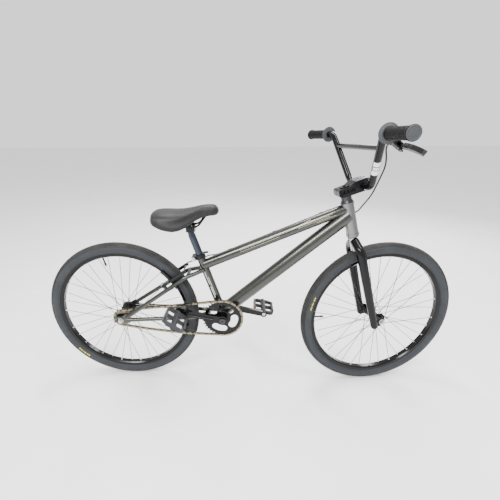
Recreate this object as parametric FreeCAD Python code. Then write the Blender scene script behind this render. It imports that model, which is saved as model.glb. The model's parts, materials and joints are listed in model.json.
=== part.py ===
"""A single-speed BMX bicycle with 24 inch wheels and a rear linear-pull brake.

The bicycle stands on the plane z = 0 and points along +X, with +Y to its left. The
origin is on the ground, on the frame's centre plane, half way between the axles.
"""
import FreeCAD
import Part
import math
import os

V = FreeCAD.Vector

# Driving dimensions, in millimetres and degrees.
WHEELBASE = 1000.0
AXLE_HEIGHT = 300.0
TYRE_RADIUS = 300.0
TYRE_WIDTH = 45.0
RIM_RADIUS = 259.5
RIM_INNER_RADIUS = 246.5
RIM_WIDTH = 26.8
SPOKE_COUNT = 36

CHAIN_PITCH = 12.7
RING_TEETH = 38
COG_TEETH = 16
SPAN_LINKS = 31
CHAIN_CENTRES = 397.25
CHAIN_LINE = 42.0
BB_HEIGHT = 303.0

HEAD_ANGLE = 72.7
FORK_OFFSET = 31.0
STEERED = 7.3
HEAD_TUBE_LOW = 356.0
HEAD_TUBE_HIGH = 480.0
HEAD_TUBE_RADIUS = 21.0
STEERER_RADIUS = 14.3

SEAT_ANGLE = 71.5
SEAT_TUBE_LENGTH = 267.0
SEAT_TUBE_RADIUS = 15.9
POST_RADIUS = 13.6

TOP_TUBE_RADIUS = 19.05
DOWN_TUBE_RADIUS = 25.4
TUBE_WALL = 1.8
STAY_RADIUS = 8.0

CRANK_LENGTH = 174.0
CRANK_RISE = 15.0
PEDAL_TILT = -36.0
PEDAL_LEFT_TILT = -12.0
STAY_WALL = 1.8

STEM_REACH = 52.8
STEM_HEIGHT = 523.0
BAR_RADIUS = 11.1
BAR_HALF_WIDTH = 350.0
BAR_LOWER_HALF = 75.0
BAR_UPPER_HALF = 178.0
BAR_RISE = 163.0
BAR_LEAN = 14.5
BAR_BACKSWEEP = 8.6
GRIP_LENGTH = 143.0

AXLE_RADIUS = 4.76
AXLE_CORE = 4.6
RUNNING_GAP = 0.05

REAR_X = -WHEELBASE / 2
FRONT_X = WHEELBASE / 2
BB_X = REAR_X + math.sqrt(CHAIN_CENTRES**2 - (BB_HEIGHT - AXLE_HEIGHT) ** 2)

X_AXIS = V(1, 0, 0)
Y_AXIS = V(0, 1, 0)
Z_AXIS = V(0, 0, 1)
SIDES = (1, -1)

REAR_HUB = V(REAR_X, 0, AXLE_HEIGHT)
FRONT_HUB = V(FRONT_X, 0, AXLE_HEIGHT)
BB = V(BB_X, 0, BB_HEIGHT)


def radians(degrees):
    return math.radians(degrees)


# Directions of the steering axis (upwards), square to it (forwards), and of the seat tube.
STEER_UP = V(-math.cos(radians(HEAD_ANGLE)), 0, math.sin(radians(HEAD_ANGLE)))
STEER_AHEAD = V(math.sin(radians(HEAD_ANGLE)), 0, math.cos(radians(HEAD_ANGLE)))
STEER_FOOT = FRONT_HUB - STEER_AHEAD * FORK_OFFSET
SEAT_UP = V(-math.cos(radians(SEAT_ANGLE)), 0, math.sin(radians(SEAT_ANGLE)))
SEAT_AHEAD = V(math.sin(radians(SEAT_ANGLE)), 0, math.cos(radians(SEAT_ANGLE)))


def steer(up, ahead=0.0, side=0.0):
    """A point given by its height along the steering axis, its distance ahead and to the left."""
    return STEER_FOOT + STEER_UP * up + STEER_AHEAD * ahead + Y_AXIS * side


def seat(up, ahead=0.0, side=0.0):
    """A point given by its height along the seat tube, its distance ahead and to the left."""
    return BB + SEAT_UP * up + SEAT_AHEAD * ahead + Y_AXIS * side


# ------------------------------------------------------------------ shape helpers


def rod(start, end, radius):
    axis = end - start
    return Part.makeCylinder(radius, axis.Length, start, axis)


def cone(start, end, first, last):
    axis = end - start
    return Part.makeCone(first, last, axis.Length, start, axis)


def ring(start, end, outer, inner):
    return rod(start, end, outer).cut(rod(start, end, inner))


def hex_prism(start, end, across):
    """A hexagonal bar between two points; across is its width over flats."""
    axis = (end - start).normalize()
    side = axis.cross(X_AXIS if abs(axis.x) < 0.9 else Z_AXIS).normalize()
    up = axis.cross(side)
    corner = across / math.sqrt(3)
    points = []
    for k in range(7):
        turn = radians(60 * k)
        points.append(start + side * (corner * math.cos(turn)) + up * (corner * math.sin(turn)))
    return Part.Face(Part.makePolygon(points)).extrude(end - start)


def block(centre, along, across, size):
    """A box about a centre; size is its length along, across and normal to both."""
    along = V(along).normalize()
    across = V(across).normalize()
    normal = along.cross(across)
    corner = centre - along * (size[0] / 2) - across * (size[1] / 2) - normal * (size[2] / 2)
    points = [
        corner,
        corner + along * size[0],
        corner + along * size[0] + across * size[1],
        corner + across * size[1],
        corner,
    ]
    return Part.Face(Part.makePolygon(points)).extrude(normal * size[2])


def prism(points, extrusion):
    """A closed outline swept along a vector."""
    return Part.Face(Part.makePolygon(points + [points[0]])).extrude(extrusion)


def join(shapes):
    """One solid out of several that touch or overlap."""
    first = shapes[0]
    whole = first.fuse(shapes[1:]) if len(shapes) > 1 else first
    return whole.removeSplitter()


def tangent_path(points, radii):
    """Straight runs through the points, joined by arcs that are tangent to them."""
    edges = []
    cursor = points[0]
    for k in range(1, len(points) - 1):
        corner = points[k]
        back = (points[k - 1] - corner).normalize()
        ahead = (points[k + 1] - corner).normalize()
        half_turn = (math.pi - back.getAngle(ahead)) / 2
        radius = radii[k - 1]
        setback = radius * math.tan(half_turn)
        inward = (back + ahead).normalize()
        depth = radius / math.cos(half_turn) - radius
        arc_start = corner + back * setback
        arc_end = corner + ahead * setback
        if (arc_start - cursor).Length > 0.01:
            edges.append(Part.LineSegment(cursor, arc_start).toShape())
        edges.append(Part.Arc(arc_start, corner + inward * depth, arc_end).toShape())
        cursor = arc_end
    if (points[-1] - cursor).Length > 0.01:
        edges.append(Part.LineSegment(cursor, points[-1]).toShape())
    return Part.Wire(edges)


def pipe(path, radius):
    """A round bar along a path."""
    edge = path.Edges[0]
    start = edge.valueAt(edge.FirstParameter)
    profile = Part.Wire(Part.makeCircle(radius, start, edge.tangentAt(edge.FirstParameter)))
    return path.makePipeShell([profile], True, False)


def bent_rod(points, radii, radius):
    return pipe(tangent_path(points, radii), radius)


def cord_radii(points):
    """The largest arc that each corner of a cord's route leaves room for."""
    radii = []
    for k in range(1, len(points) - 1):
        before = points[k] - points[k - 1]
        after = points[k + 1] - points[k]
        half_turn = before.getAngle(after) / 2
        radii.append(0.45 * min(before.Length, after.Length) / math.tan(half_turn))
    return radii


def mirrored(shape):
    """The same shape on the other side of the centre plane."""
    return shape.mirror(V(0, 0, 0), Y_AXIS)


def both_sides(shape):
    return [shape, mirrored(shape)]


def revolved(points, hub):
    """A closed (radius, y) outline turned about a wheel's axle; a triple holds an arc's end."""
    edges = []
    cursor = None
    for point in points + [points[0]]:
        end = V(point[0], point[1], 0)
        if cursor is not None:
            if len(point) == 4:
                middle = V(point[2], point[3], 0)
                edges.append(Part.Arc(cursor, middle, end).toShape())
            else:
                edges.append(Part.LineSegment(cursor, end).toShape())
        cursor = end
    solid = Part.Face(Part.Wire(edges)).revolve(V(0, 0, 0), Y_AXIS, 360)
    solid.translate(hub)
    return solid


def steered(shape):
    """Turns a part of the steering assembly to the angle at which the bicycle stands."""
    copy = shape.copy()
    copy.rotate(STEER_FOOT, STEER_UP, STEERED)
    return copy


def export(name, shapes, turn=False):
    solids = shapes if isinstance(shapes, list) else [shapes]
    if turn:
        solids = [steered(solid) for solid in solids]
    shape = solids[0] if len(solids) == 1 else Part.makeCompound(solids)
    if not shape.isValid():
        print("INVALID", name)
    shape.exportStep("parts/" + name + ".step")
    print(name, len(shape.Solids), round(shape.Volume))


# ------------------------------------------------------------------ frame

TOP_TUBE_REAR = seat(220.5)
TOP_TUBE_FRONT = steer(459.0)
DOWN_TUBE_REAR = BB + V(-5, 0, 6)
DOWN_TUBE_FRONT = steer(434.0)
DROPOUT_FACE = 55.0
DROPOUT_THICKNESS = 6.0
BB_SHELL_RADIUS = 24.0
BB_SHELL_HALF = 34.0
STAY_ANGLE = 34.5
BRAKE_PIVOT_REACH = 226.0
BRAKE_PIVOT_SIDE = 40.0

STAY_UP = V(math.cos(radians(STAY_ANGLE)), 0, math.sin(radians(STAY_ANGLE)))
STAY_BACK = V(-math.sin(radians(STAY_ANGLE)), 0, math.cos(radians(STAY_ANGLE)))
BRAKE_PIVOT = REAR_HUB + STAY_UP * BRAKE_PIVOT_REACH


def head_tube():
    body = rod(steer(HEAD_TUBE_LOW), steer(HEAD_TUBE_HIGH), HEAD_TUBE_RADIUS)
    rims = [
        rod(steer(HEAD_TUBE_LOW), steer(HEAD_TUBE_LOW + 10), HEAD_TUBE_RADIUS + 1.5),
        rod(steer(HEAD_TUBE_HIGH - 10), steer(HEAD_TUBE_HIGH), HEAD_TUBE_RADIUS + 1.5),
    ]
    body = join([body] + rims)
    body = body.cut(rod(steer(HEAD_TUBE_LOW), steer(HEAD_TUBE_HIGH), 16.5))
    for low in (HEAD_TUBE_LOW, HEAD_TUBE_HIGH - BEARING_HEIGHT):
        body = body.cut(rod(steer(low), steer(low + BEARING_HEIGHT), BEARING_RADIUS))
    return body


BEARING_HEIGHT = 7.0
BEARING_RADIUS = 18.5


def headset_bearings():
    """Two cartridge bearings in the ends of the head tube."""
    return [
        ring(steer(low), steer(low + BEARING_HEIGHT), BEARING_RADIUS, STEERER_RADIUS + RUNNING_GAP)
        for low in (HEAD_TUBE_LOW, HEAD_TUBE_HIGH - BEARING_HEIGHT)
    ]


def seat_tube():
    top = seat(SEAT_TUBE_LENGTH)
    body = rod(BB, top, SEAT_TUBE_RADIUS).cut(rod(BB, top, POST_RADIUS + RUNNING_GAP))
    body = body.cut(rod(BB - Y_AXIS * 60, BB + Y_AXIS * 60, BB_SHELL_RADIUS))
    slit = block(seat(SEAT_TUBE_LENGTH - 14, -SEAT_TUBE_RADIUS), SEAT_UP, Y_AXIS, (30, 2.5, 12))
    return body.cut(slit)


def main_tube(start, end, radius):
    """A hollow tube, mitred round the head tube, the seat tube and the bracket shell."""
    body = rod(start, end, radius).cut(rod(start, end, radius - TUBE_WALL))
    body = body.cut(rod(steer(HEAD_TUBE_LOW - 60), steer(HEAD_TUBE_HIGH + 60), HEAD_TUBE_RADIUS))
    for low, high in ((HEAD_TUBE_LOW, HEAD_TUBE_LOW + 10), (HEAD_TUBE_HIGH - 10, HEAD_TUBE_HIGH)):
        body = body.cut(rod(steer(low), steer(high), HEAD_TUBE_RADIUS + 1.5))
    body = body.cut(rod(seat(0), seat(SEAT_TUBE_LENGTH + 40), SEAT_TUBE_RADIUS))
    return body.cut(rod(BB - Y_AXIS * 60, BB + Y_AXIS * 60, BB_SHELL_RADIUS))


def largest(shape):
    return max(shape.Solids, key=lambda solid: solid.Volume)


def top_tube():
    return largest(main_tube(TOP_TUBE_REAR, TOP_TUBE_FRONT, TOP_TUBE_RADIUS))


def down_tube():
    body = main_tube(DOWN_TUBE_REAR, DOWN_TUBE_FRONT, DOWN_TUBE_RADIUS)
    body = body.cut(rod(TOP_TUBE_REAR, TOP_TUBE_FRONT, TOP_TUBE_RADIUS))
    return largest(body)


def bracket_shell():
    return ring(BB - Y_AXIS * BB_SHELL_HALF, BB + Y_AXIS * BB_SHELL_HALF, BB_SHELL_RADIUS, 20.6)


SPINDLE_RADIUS = 9.5


def bracket_bearings():
    """A cup with a cartridge bearing in each end of the bottom bracket shell."""
    cups = []
    for side in SIDES:
        inner = BB + Y_AXIS * (side * (BB_SHELL_HALF - 11))
        mouth = BB + Y_AXIS * (side * BB_SHELL_HALF)
        lip = BB + Y_AXIS * (side * (BB_SHELL_HALF + 2.5))
        cup = join([rod(inner, mouth, 20.6), rod(mouth, lip, BB_SHELL_RADIUS)])
        cups.append(cup.cut(rod(inner, lip, SPINDLE_RADIUS + RUNNING_GAP)))
    return cups


def chainstays():
    """Each stay leaves the bracket shell, passes the tyre and ends on its dropout."""
    points = [
        BB + V(-10, 22, 0),
        BB + V(-86, 27, -1),
        BB + V(-135, 38, -2),
        REAR_HUB + V(24, 58, 0),
    ]
    stay = bent_rod(points, [90, 220], STAY_RADIUS)
    plug = (points[-2] - points[-1]).normalize() * 26
    hollow = points[:-1] + [points[-1] + plug]
    stay = stay.cut(bent_rod(hollow, [90, 220], STAY_RADIUS - STAY_WALL))
    stay = stay.cut(rod(BB - Y_AXIS * 60, BB + Y_AXIS * 60, BB_SHELL_RADIUS))
    stay = stay.cut(rear_dropout(1))
    return both_sides(largest(stay))


def seatstay_line(reach, side):
    """A point on the left seatstay's line, which runs above the radius of the wheel."""
    return REAR_HUB + STAY_UP * reach - STAY_BACK * 3.0 + Y_AXIS * side


def seatstays():
    points = [
        seatstay_line(27, 60.5),
        seatstay_line(312, 37),
        seat(206, -3, 15),
    ]
    stay = bent_rod(points, [70], STAY_RADIUS)
    plug = (points[1] - points[0]).normalize() * 26
    stay = stay.cut(bent_rod([points[0] + plug] + points[1:], [70], STAY_RADIUS - STAY_WALL))
    stay = stay.cut(rod(seat(0), seat(SEAT_TUBE_LENGTH + 40), SEAT_TUBE_RADIUS))
    stay = stay.cut(rear_dropout(1))
    stay = stay.common(block(V(-300, 250, 400), X_AXIS, Y_AXIS, (800, 499.4, 800)))
    return both_sides(largest(stay))


def rear_dropout(side):
    """A plate with a slot that opens to the rear; the axle sits in the slot."""
    inner = side * DROPOUT_FACE
    thickness = Y_AXIS * (side * DROPOUT_THICKNESS)
    outline = [
        REAR_HUB + V(-28, inner, -12),
        REAR_HUB + V(-28, inner, 12),
        REAR_HUB + V(4, inner, 15),
        REAR_HUB + V(22, inner, 26),
        REAR_HUB + V(38, inner, 24),
        REAR_HUB + V(40, inner, -8),
        REAR_HUB + V(14, inner, -15),
    ]
    plate = prism(outline, thickness)
    slot = block(REAR_HUB + V(-20, inner, 0), X_AXIS, Y_AXIS, (40, 20, 2 * AXLE_RADIUS + 0.4))
    bore = rod(REAR_HUB + V(0, inner - 10, 0), REAR_HUB + V(0, inner + 10, 0), AXLE_RADIUS + 0.2)
    return plate.cut([slot, bore])


BOSS_RADIUS = 5.6
BOLT_RADIUS = 3.0
ARM_DEPTH = (13.0, 24.0)


def brake_stud(side):
    """A stud on the back of the seatstay, on which one brake arm turns."""
    foot = BRAKE_PIVOT + Y_AXIS * (side * BRAKE_PIVOT_SIDE)
    shoulder = rod(foot + STAY_BACK * 2, foot + STAY_BACK * (ARM_DEPTH[0] - 0.4), BOSS_RADIUS + 1.6)
    stud = rod(foot + STAY_BACK * 2, foot + STAY_BACK * (ARM_DEPTH[1] + 0.6), BOLT_RADIUS + 1.2)
    stud = join([shoulder, stud])
    return largest(stud.cut(seatstays()))


def brake_pivot_bolt(side):
    start = BRAKE_PIVOT + Y_AXIS * (side * BRAKE_PIVOT_SIDE) + STAY_BACK * (ARM_DEPTH[1] + 0.6)
    head = join([
        rod(start, start + STAY_BACK * 1.5, 7.0),
        rod(start, start + STAY_BACK * 5.5, 4.6),
    ])
    socket = hex_prism(start + STAY_BACK * 2.5, start + STAY_BACK * 6, 5.0)
    return head.cut(socket)


def stay_bridge(start, end, radius):
    bridge = rod(start, end, radius)
    return largest(bridge.cut(seatstays() + chainstays()))


def top_tube_point(share, angle, gap=0.0):
    """A point at a share of the top tube's length, at an angle from its top towards the left."""
    along = TOP_TUBE_FRONT - TOP_TUBE_REAR
    up = along.cross(Y_AXIS).normalize() * -1
    centre = TOP_TUBE_REAR + along * share
    out = up * math.cos(radians(angle)) + Y_AXIS * math.sin(radians(angle))
    return centre + out * (TOP_TUBE_RADIUS + gap)


CABLE_RADIUS = 2.5
GUIDE_SHARES = (0.20, 0.52, 0.84)
CABLE_SIDE_ANGLE = 118.0
CABLE_GAP = 5.2


def cable_guide(share):
    """A welded clip that holds the brake cable against the side of the top tube."""
    along = (TOP_TUBE_FRONT - TOP_TUBE_REAR).normalize()
    centre = top_tube_point(share, CABLE_SIDE_ANGLE, CABLE_GAP)
    clip = ring(centre - along * 7, centre + along * 7, CABLE_RADIUS + 1.6, CABLE_RADIUS + 0.1)
    foot = block(
        top_tube_point(share, CABLE_SIDE_ANGLE, 0.8), along, centre - top_tube_point(share, CABLE_SIDE_ANGLE),
        (14, 2.6, 5),
    )
    body = join([clip, foot.cut(rod(centre - along * 8, centre + along * 8, CABLE_RADIUS + 0.1))])
    return largest(body.cut(rod(TOP_TUBE_REAR, TOP_TUBE_FRONT, TOP_TUBE_RADIUS)))


def frame_fittings():
    """Small welded parts: two stay bridges, two brake studs and three cable clips."""
    bridges = [
        stay_bridge(seatstay_line(326, -30), seatstay_line(326, 30), 6.5),
        stay_bridge(BB + V(-56, -28, -1), BB + V(-56, 28, -1), 6.5),
    ]
    studs = [brake_stud(side) for side in SIDES]
    return bridges + studs + [cable_guide(share) for share in GUIDE_SHARES]


def axle_shaft(hub, nut_face, half, cone_faces, cone_radius):
    """A threaded shaft with full-size ends beyond the nuts and a locknut inside each dropout."""
    core = nut_face + 0.5
    pieces = [rod(hub - Y_AXIS * core, hub + Y_AXIS * core, AXLE_CORE)]
    for side in SIDES:
        pieces.append(rod(hub + Y_AXIS * (side * core), hub + Y_AXIS * (side * half), AXLE_RADIUS))
        inner, outer = [hub + Y_AXIS * (side * face) for face in cone_faces]
        pieces.append(rod(inner, outer, cone_radius))
    return join(pieces)


def rear_axle():
    """The axle with its locknuts, and the two wheel nuts."""
    face = DROPOUT_FACE + DROPOUT_THICKNESS
    shaft = axle_shaft(REAR_HUB, face + NUT_HEIGHT, 76.0, (49.0, DROPOUT_FACE), 9.0)
    return [shaft] + [wheel_nut(REAR_HUB, side, face) for side in SIDES]


NUT_HEIGHT = 10.0


def wheel_nut(hub, side, face):
    """A flanged axle nut."""
    seat_face = hub + Y_AXIS * (side * face)
    flange = rod(seat_face, seat_face + Y_AXIS * (side * 2.2), 10.5)
    end_face = seat_face + Y_AXIS * (side * NUT_HEIGHT)
    nut = hex_prism(seat_face + Y_AXIS * (side * 1.5), end_face, 15.0)
    body = join([flange, nut])
    return body.cut(rod(hub, hub + Y_AXIS * (side * 100), AXLE_CORE))


# ------------------------------------------------------------------ chain and sprockets


def pitch_radius(teeth):
    return CHAIN_PITCH / (2 * math.sin(math.pi / teeth))


def solve(function, low, high):
    """The argument between low and high at which a rising function is zero."""
    for _ in range(60):
        middle = (low + high) / 2
        if function(middle) > 0:
            high = middle
        else:
            low = middle
    return (low + high) / 2


RING_RADIUS = pitch_radius(RING_TEETH)
COG_RADIUS = pitch_radius(COG_TEETH)
LINE_ANGLE = math.atan2(BB_HEIGHT - AXLE_HEIGHT, BB_X - REAR_X)
COG_LAST = 3.5 * 2 * math.pi / COG_TEETH
RING_LAST = 10.5 * 2 * math.pi / RING_TEETH


def from_axle(distance, height):
    """A point of the chain's plane, in axes along the line from axle to bottom bracket."""
    x = REAR_X + distance * math.cos(LINE_ANGLE) - height * math.sin(LINE_ANGLE)
    z = AXLE_HEIGHT + distance * math.sin(LINE_ANGLE) + height * math.cos(LINE_ANGLE)
    return V(x, -CHAIN_LINE, z)


def ring_pin(angle, shift):
    turn = angle - shift
    return from_axle(CHAIN_CENTRES + RING_RADIUS * math.cos(turn), RING_RADIUS * math.sin(turn))


def cog_pin(angle):
    return from_axle(-COG_RADIUS * math.cos(angle), COG_RADIUS * math.sin(angle))


def upper_span(shift):
    return (ring_pin(RING_LAST, shift) - cog_pin(COG_LAST)).Length - SPAN_LINKS * CHAIN_PITCH


# The turn of the chainring that pulls the upper run straight; the lower run takes the slack.
RING_SHIFT = solve(upper_span, 0.0, 0.05)


def chain_pins():
    """The pins in order: upper run forwards, round the chainring, lower run back, round the cog."""
    pins = []
    start = cog_pin(COG_LAST)
    end = ring_pin(RING_LAST, RING_SHIFT)
    for k in range(SPAN_LINKS):
        pins.append(start + (end - start) * (k / SPAN_LINKS))
    for k in range(21):
        pins.append(ring_pin(RING_LAST - k * 2 * math.pi / RING_TEETH, RING_SHIFT))
    low_start = ring_pin(-RING_LAST, RING_SHIFT)
    low_end = cog_pin(-COG_LAST)
    pins += sagging_run(low_start, low_end)
    for k in range(7):
        pins.append(cog_pin(-COG_LAST + k * 2 * math.pi / COG_TEETH))
    return pins


def sagging_run(start, end):
    """Pins one pitch apart on the shallow arc in which the slack lower run hangs."""
    span = (end - start).Length

    def shortfall(bend):
        return span - CHAIN_PITCH * math.sin(SPAN_LINKS * bend / 2) / math.sin(bend / 2)

    bend = solve(shortfall, 1e-5, 0.05)
    heading = math.atan2(end.z - start.z, end.x - start.x) + (SPAN_LINKS - 1) * bend / 2
    pins = []
    place = V(start)
    for k in range(SPAN_LINKS):
        pins.append(V(place))
        turn = heading - k * bend
        place = place + V(math.cos(turn), 0, math.sin(turn)) * CHAIN_PITCH
    return pins


ROLLER_RADIUS = 3.88
ROLLER_SEAT = 4.0
PIN_RADIUS = 1.8
INNER_HALF = 2.5
PLATE_THICKNESS = 1.0
PLATE_RADIUS = 4.1


def link_plate(first, second, offset):
    """A plate with round ends about two pins, its near face at an offset from the chain line."""
    step = Y_AXIS * (PLATE_THICKNESS if offset > 0 else -PLATE_THICKNESS)
    shift = Y_AXIS * offset
    along = second - first
    across = along.cross(Y_AXIS).normalize() * (PLATE_RADIUS * 0.8)
    strip = prism(
        [first + shift + across, second + shift + across, second + shift - across, first + shift - across],
        step,
    )
    ends = [Part.makeCylinder(PLATE_RADIUS, PLATE_THICKNESS, pin + shift, step) for pin in (first, second)]
    return join([strip] + ends)


def inner_link(first, second):
    plates = [link_plate(first, second, side * INNER_HALF) for side in SIDES]
    reach = Y_AXIS * INNER_HALF
    rollers = [rod(pin - reach, pin + reach, ROLLER_RADIUS) for pin in (first, second)]
    link = join(plates + rollers)
    far = Y_AXIS * 10
    return link.cut([rod(pin - far, pin + far, PIN_RADIUS + 0.1) for pin in (first, second)])


def outer_link(first, second):
    offset = INNER_HALF + PLATE_THICKNESS + 0.15
    plates = [link_plate(first, second, side * offset) for side in SIDES]
    reach = Y_AXIS * (offset + PLATE_THICKNESS + 0.5)
    pins = [rod(pin - reach, pin + reach, PIN_RADIUS) for pin in (first, second)]
    return join(plates + pins)


def chain_links(kind, first):
    pins = chain_pins()
    count = len(pins)
    return [kind(pins[k], pins[(k + 1) % count]) for k in range(first, count, 2)]


def sprocket(centre, teeth, first_gap, thickness):
    """A toothed disc about an axle; first_gap is the angle of one gap between teeth."""
    radius = pitch_radius(teeth)
    tip_radius = radius + 3.6
    contact = radians(62)
    edges = []
    start = None
    cursor = None
    for k in range(teeth):
        gap = first_gap + k * 2 * math.pi / teeth

        def place(out, around, gap=gap):
            ahead = V(math.cos(gap), 0, math.sin(gap))
            aside = V(-math.sin(gap), 0, math.cos(gap))
            return centre + ahead * out + aside * around

        low = place(radius - ROLLER_SEAT * math.cos(contact), -ROLLER_SEAT * math.sin(contact))
        base = place(radius - ROLLER_SEAT, 0)
        high = place(radius - ROLLER_SEAT * math.cos(contact), ROLLER_SEAT * math.sin(contact))
        tooth = gap + math.pi / teeth
        tips = []
        for shift in (-1.0, 1.0):
            turn = tooth + shift / tip_radius
            tips.append(centre + V(math.cos(turn), 0, math.sin(turn)) * tip_radius)
        if cursor is None:
            start = low
        else:
            edges.append(Part.LineSegment(cursor, low).toShape())
        edges.append(Part.Arc(low, base, high).toShape())
        edges.append(Part.LineSegment(high, tips[0]).toShape())
        edges.append(Part.LineSegment(tips[0], tips[1]).toShape())
        cursor = tips[1]
    edges.append(Part.LineSegment(cursor, start).toShape())
    disc = Part.Face(Part.Wire(edges)).extrude(Y_AXIS * thickness)
    disc.translate(Y_AXIS * (-thickness / 2))
    return disc


RING_PLANE = BB - Y_AXIS * CHAIN_LINE
COG_PLANE = REAR_HUB - Y_AXIS * CHAIN_LINE
RING_THICKNESS = 3.6
WINDOW_COUNT = 4
WINDOW_FIRST = 163.0


def chainring():
    """A disc with four oval windows, clamped behind the right crank arm."""
    gap = RING_LAST - RING_SHIFT + LINE_ANGLE
    disc = sprocket(RING_PLANE, RING_TEETH, gap, RING_THICKNESS)
    cutters = []
    for k in range(WINDOW_COUNT):
        cutters.append(ring_window(radians(WINDOW_FIRST + 90 * k)))
    cutters.append(rod(RING_PLANE - Y_AXIS * 10, RING_PLANE + Y_AXIS * 10, SPINDLE_RADIUS + 0.1))
    bolt = ring_bolt_centre()
    cutters.append(rod(bolt - Y_AXIS * 10, bolt + Y_AXIS * 10, 4.0))
    return disc.cut(cutters)


def ring_window(middle):
    """A curved slot with round ends, between the hub and the toothed band."""
    reach = 46.0
    half_height = 14.0
    half_angle = radians(21)
    arc = []
    for turn in (middle - half_angle, middle, middle + half_angle):
        arc.append(V(math.cos(turn), 0, math.sin(turn)))
    centre = RING_PLANE + Y_AXIS * -10
    inner, outer = reach - half_height, reach + half_height
    ends = [centre + arc[0] * reach, centre + arc[2] * reach]
    outward = [arc[1].cross(Y_AXIS) * -1, arc[1].cross(Y_AXIS)]
    tips = []
    for k in (0, 2):
        side = arc[k].cross(Y_AXIS).normalize()
        sign = 1 if side.dot(arc[k] - arc[1]) > 0 else -1
        tips.append(centre + arc[k] * reach + side * (sign * half_height))
    edges = [
        Part.Arc(centre + arc[0] * inner, centre + arc[1] * inner, centre + arc[2] * inner).toShape(),
        Part.Arc(centre + arc[2] * inner, tips[1], centre + arc[2] * outer).toShape(),
        Part.Arc(centre + arc[2] * outer, centre + arc[1] * outer, centre + arc[0] * outer).toShape(),
        Part.Arc(centre + arc[0] * outer, tips[0], centre + arc[0] * inner).toShape(),
    ]
    return Part.Face(Part.Wire(edges)).extrude(Y_AXIS * 20)


FREEWHEEL_RADIUS = 23.0


def freewheel_cog():
    """The outer ring of the freewheel with its teeth, free to turn on the inner body."""
    cog = sprocket(COG_PLANE, COG_TEETH, math.pi - COG_LAST + LINE_ANGLE, 3.0)
    body = rod(COG_PLANE - Y_AXIS * 4.5, COG_PLANE + Y_AXIS * 4.5, 27.5)
    bore = rod(COG_PLANE - Y_AXIS * 20, COG_PLANE + Y_AXIS * 20, FREEWHEEL_RADIUS + RUNNING_GAP)
    return join([cog, body]).cut(bore)


# ------------------------------------------------------------------ cranks and pedals

CRANK_OUT = V(-math.cos(radians(CRANK_RISE)), 0, math.sin(radians(CRANK_RISE)))
CRANK_UP = V(math.sin(radians(CRANK_RISE)), 0, math.cos(radians(CRANK_RISE)))
CRANK_FACES = (48.0, 62.0)
CRANK_END_FACES = (60.0, 73.0)
PEDAL_REACH = (77.0, 176.0)


def ring_bolt_centre():
    return RING_PLANE + CRANK_OUT * 24.0


def crank_arm(side):
    """An arm from the spindle to the pedal, which leans outwards as it goes."""
    out = CRANK_OUT * (1 if side < 0 else -1)
    up = CRANK_UP
    root = CHAIN_LINE + RING_THICKNESS / 2
    hub_in, hub_out = [BB + Y_AXIS * (side * y) for y in (root, CRANK_FACES[1])]
    eye_in, eye_out = [BB + out * CRANK_LENGTH + Y_AXIS * (side * y) for y in CRANK_END_FACES]
    sections = []
    for reach, low, high, half in (
        (6, CRANK_FACES[0] + 1, CRANK_FACES[1] - 0.5, 15.5),
        (60, 54.0, 67.0, 12.5),
        (CRANK_LENGTH, CRANK_END_FACES[0] + 1, CRANK_END_FACES[1] - 0.5, 10.5),
    ):
        centre = BB + out * reach
        corners = [
            centre + up * half + Y_AXIS * (side * low),
            centre + up * half + Y_AXIS * (side * high),
            centre - up * half + Y_AXIS * (side * high),
            centre - up * half + Y_AXIS * (side * low),
        ]
        sections.append(Part.makePolygon(corners + [corners[0]]))
    arm = Part.makeLoft(sections, True, True)
    arm = join([arm, rod(hub_in, hub_out, 19.0), rod(eye_in, eye_out, 13.0)])
    groove_start = BB + out * 34 + Y_AXIS * (side * 66)
    groove_end = BB + out * 142 + Y_AXIS * (side * 74.5)
    groove = join([rod(groove_start, groove_end, 5.5)])
    cutters = [
        groove,
        rod(BB + Y_AXIS * (side * 30), BB + Y_AXIS * (side * 90), SPINDLE_RADIUS),
        rod(eye_in - Y_AXIS * (side * 9), eye_out + Y_AXIS * (side * 9), 7.1),
    ]
    return arm.cut(cutters)


def crank_spindle():
    """The hollow spindle with a cap bolt in each end, and the bolt that drives the chainring."""
    half = CRANK_FACES[1]
    spindle = rod(BB - Y_AXIS * half, BB + Y_AXIS * half, SPINDLE_RADIUS)
    spindle = spindle.cut(rod(BB - Y_AXIS * half, BB + Y_AXIS * half, 5.0))
    bolts = []
    for side in SIDES:
        face = BB + Y_AXIS * (side * half)
        bolt = join([
            rod(face, face + Y_AXIS * (side * 4.5), 11.5),
            rod(face - Y_AXIS * (side * 18), face, 5.0),
        ])
        bolts.append(bolt.cut(hex_prism(face + Y_AXIS * (side * 1), face + Y_AXIS * (side * 6), 8.0)))
    hole = ring_bolt_centre()
    ring_bolt = rod(hole - Y_AXIS * (RING_THICKNESS / 2 + 4.2), hole + Y_AXIS * RING_THICKNESS / 2, 4.0)
    ring_head = rod(hole + Y_AXIS * RING_THICKNESS / 2, hole + Y_AXIS * (RING_THICKNESS / 2 + 3), 6.5)
    bolts.append(join([ring_bolt, ring_head]))
    return [spindle] + bolts


def pedal_centre(side, out):
    """A point on a pedal's axle, out from the centre plane."""
    arm = CRANK_OUT * (CRANK_LENGTH if side < 0 else -CRANK_LENGTH)
    return BB + arm + Y_AXIS * (side * out)


def pedal_axle(side):
    inner = pedal_centre(side, CRANK_END_FACES[0] + 1)
    return join([
        rod(inner, pedal_centre(side, CRANK_END_FACES[1]), 7.1),
        hex_prism(pedal_centre(side, CRANK_END_FACES[1]), pedal_centre(side, PEDAL_REACH[0] - 0.3), 15.0),
        rod(inner, pedal_centre(side, PEDAL_REACH[1] - 6), 5.0),
    ])


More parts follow.
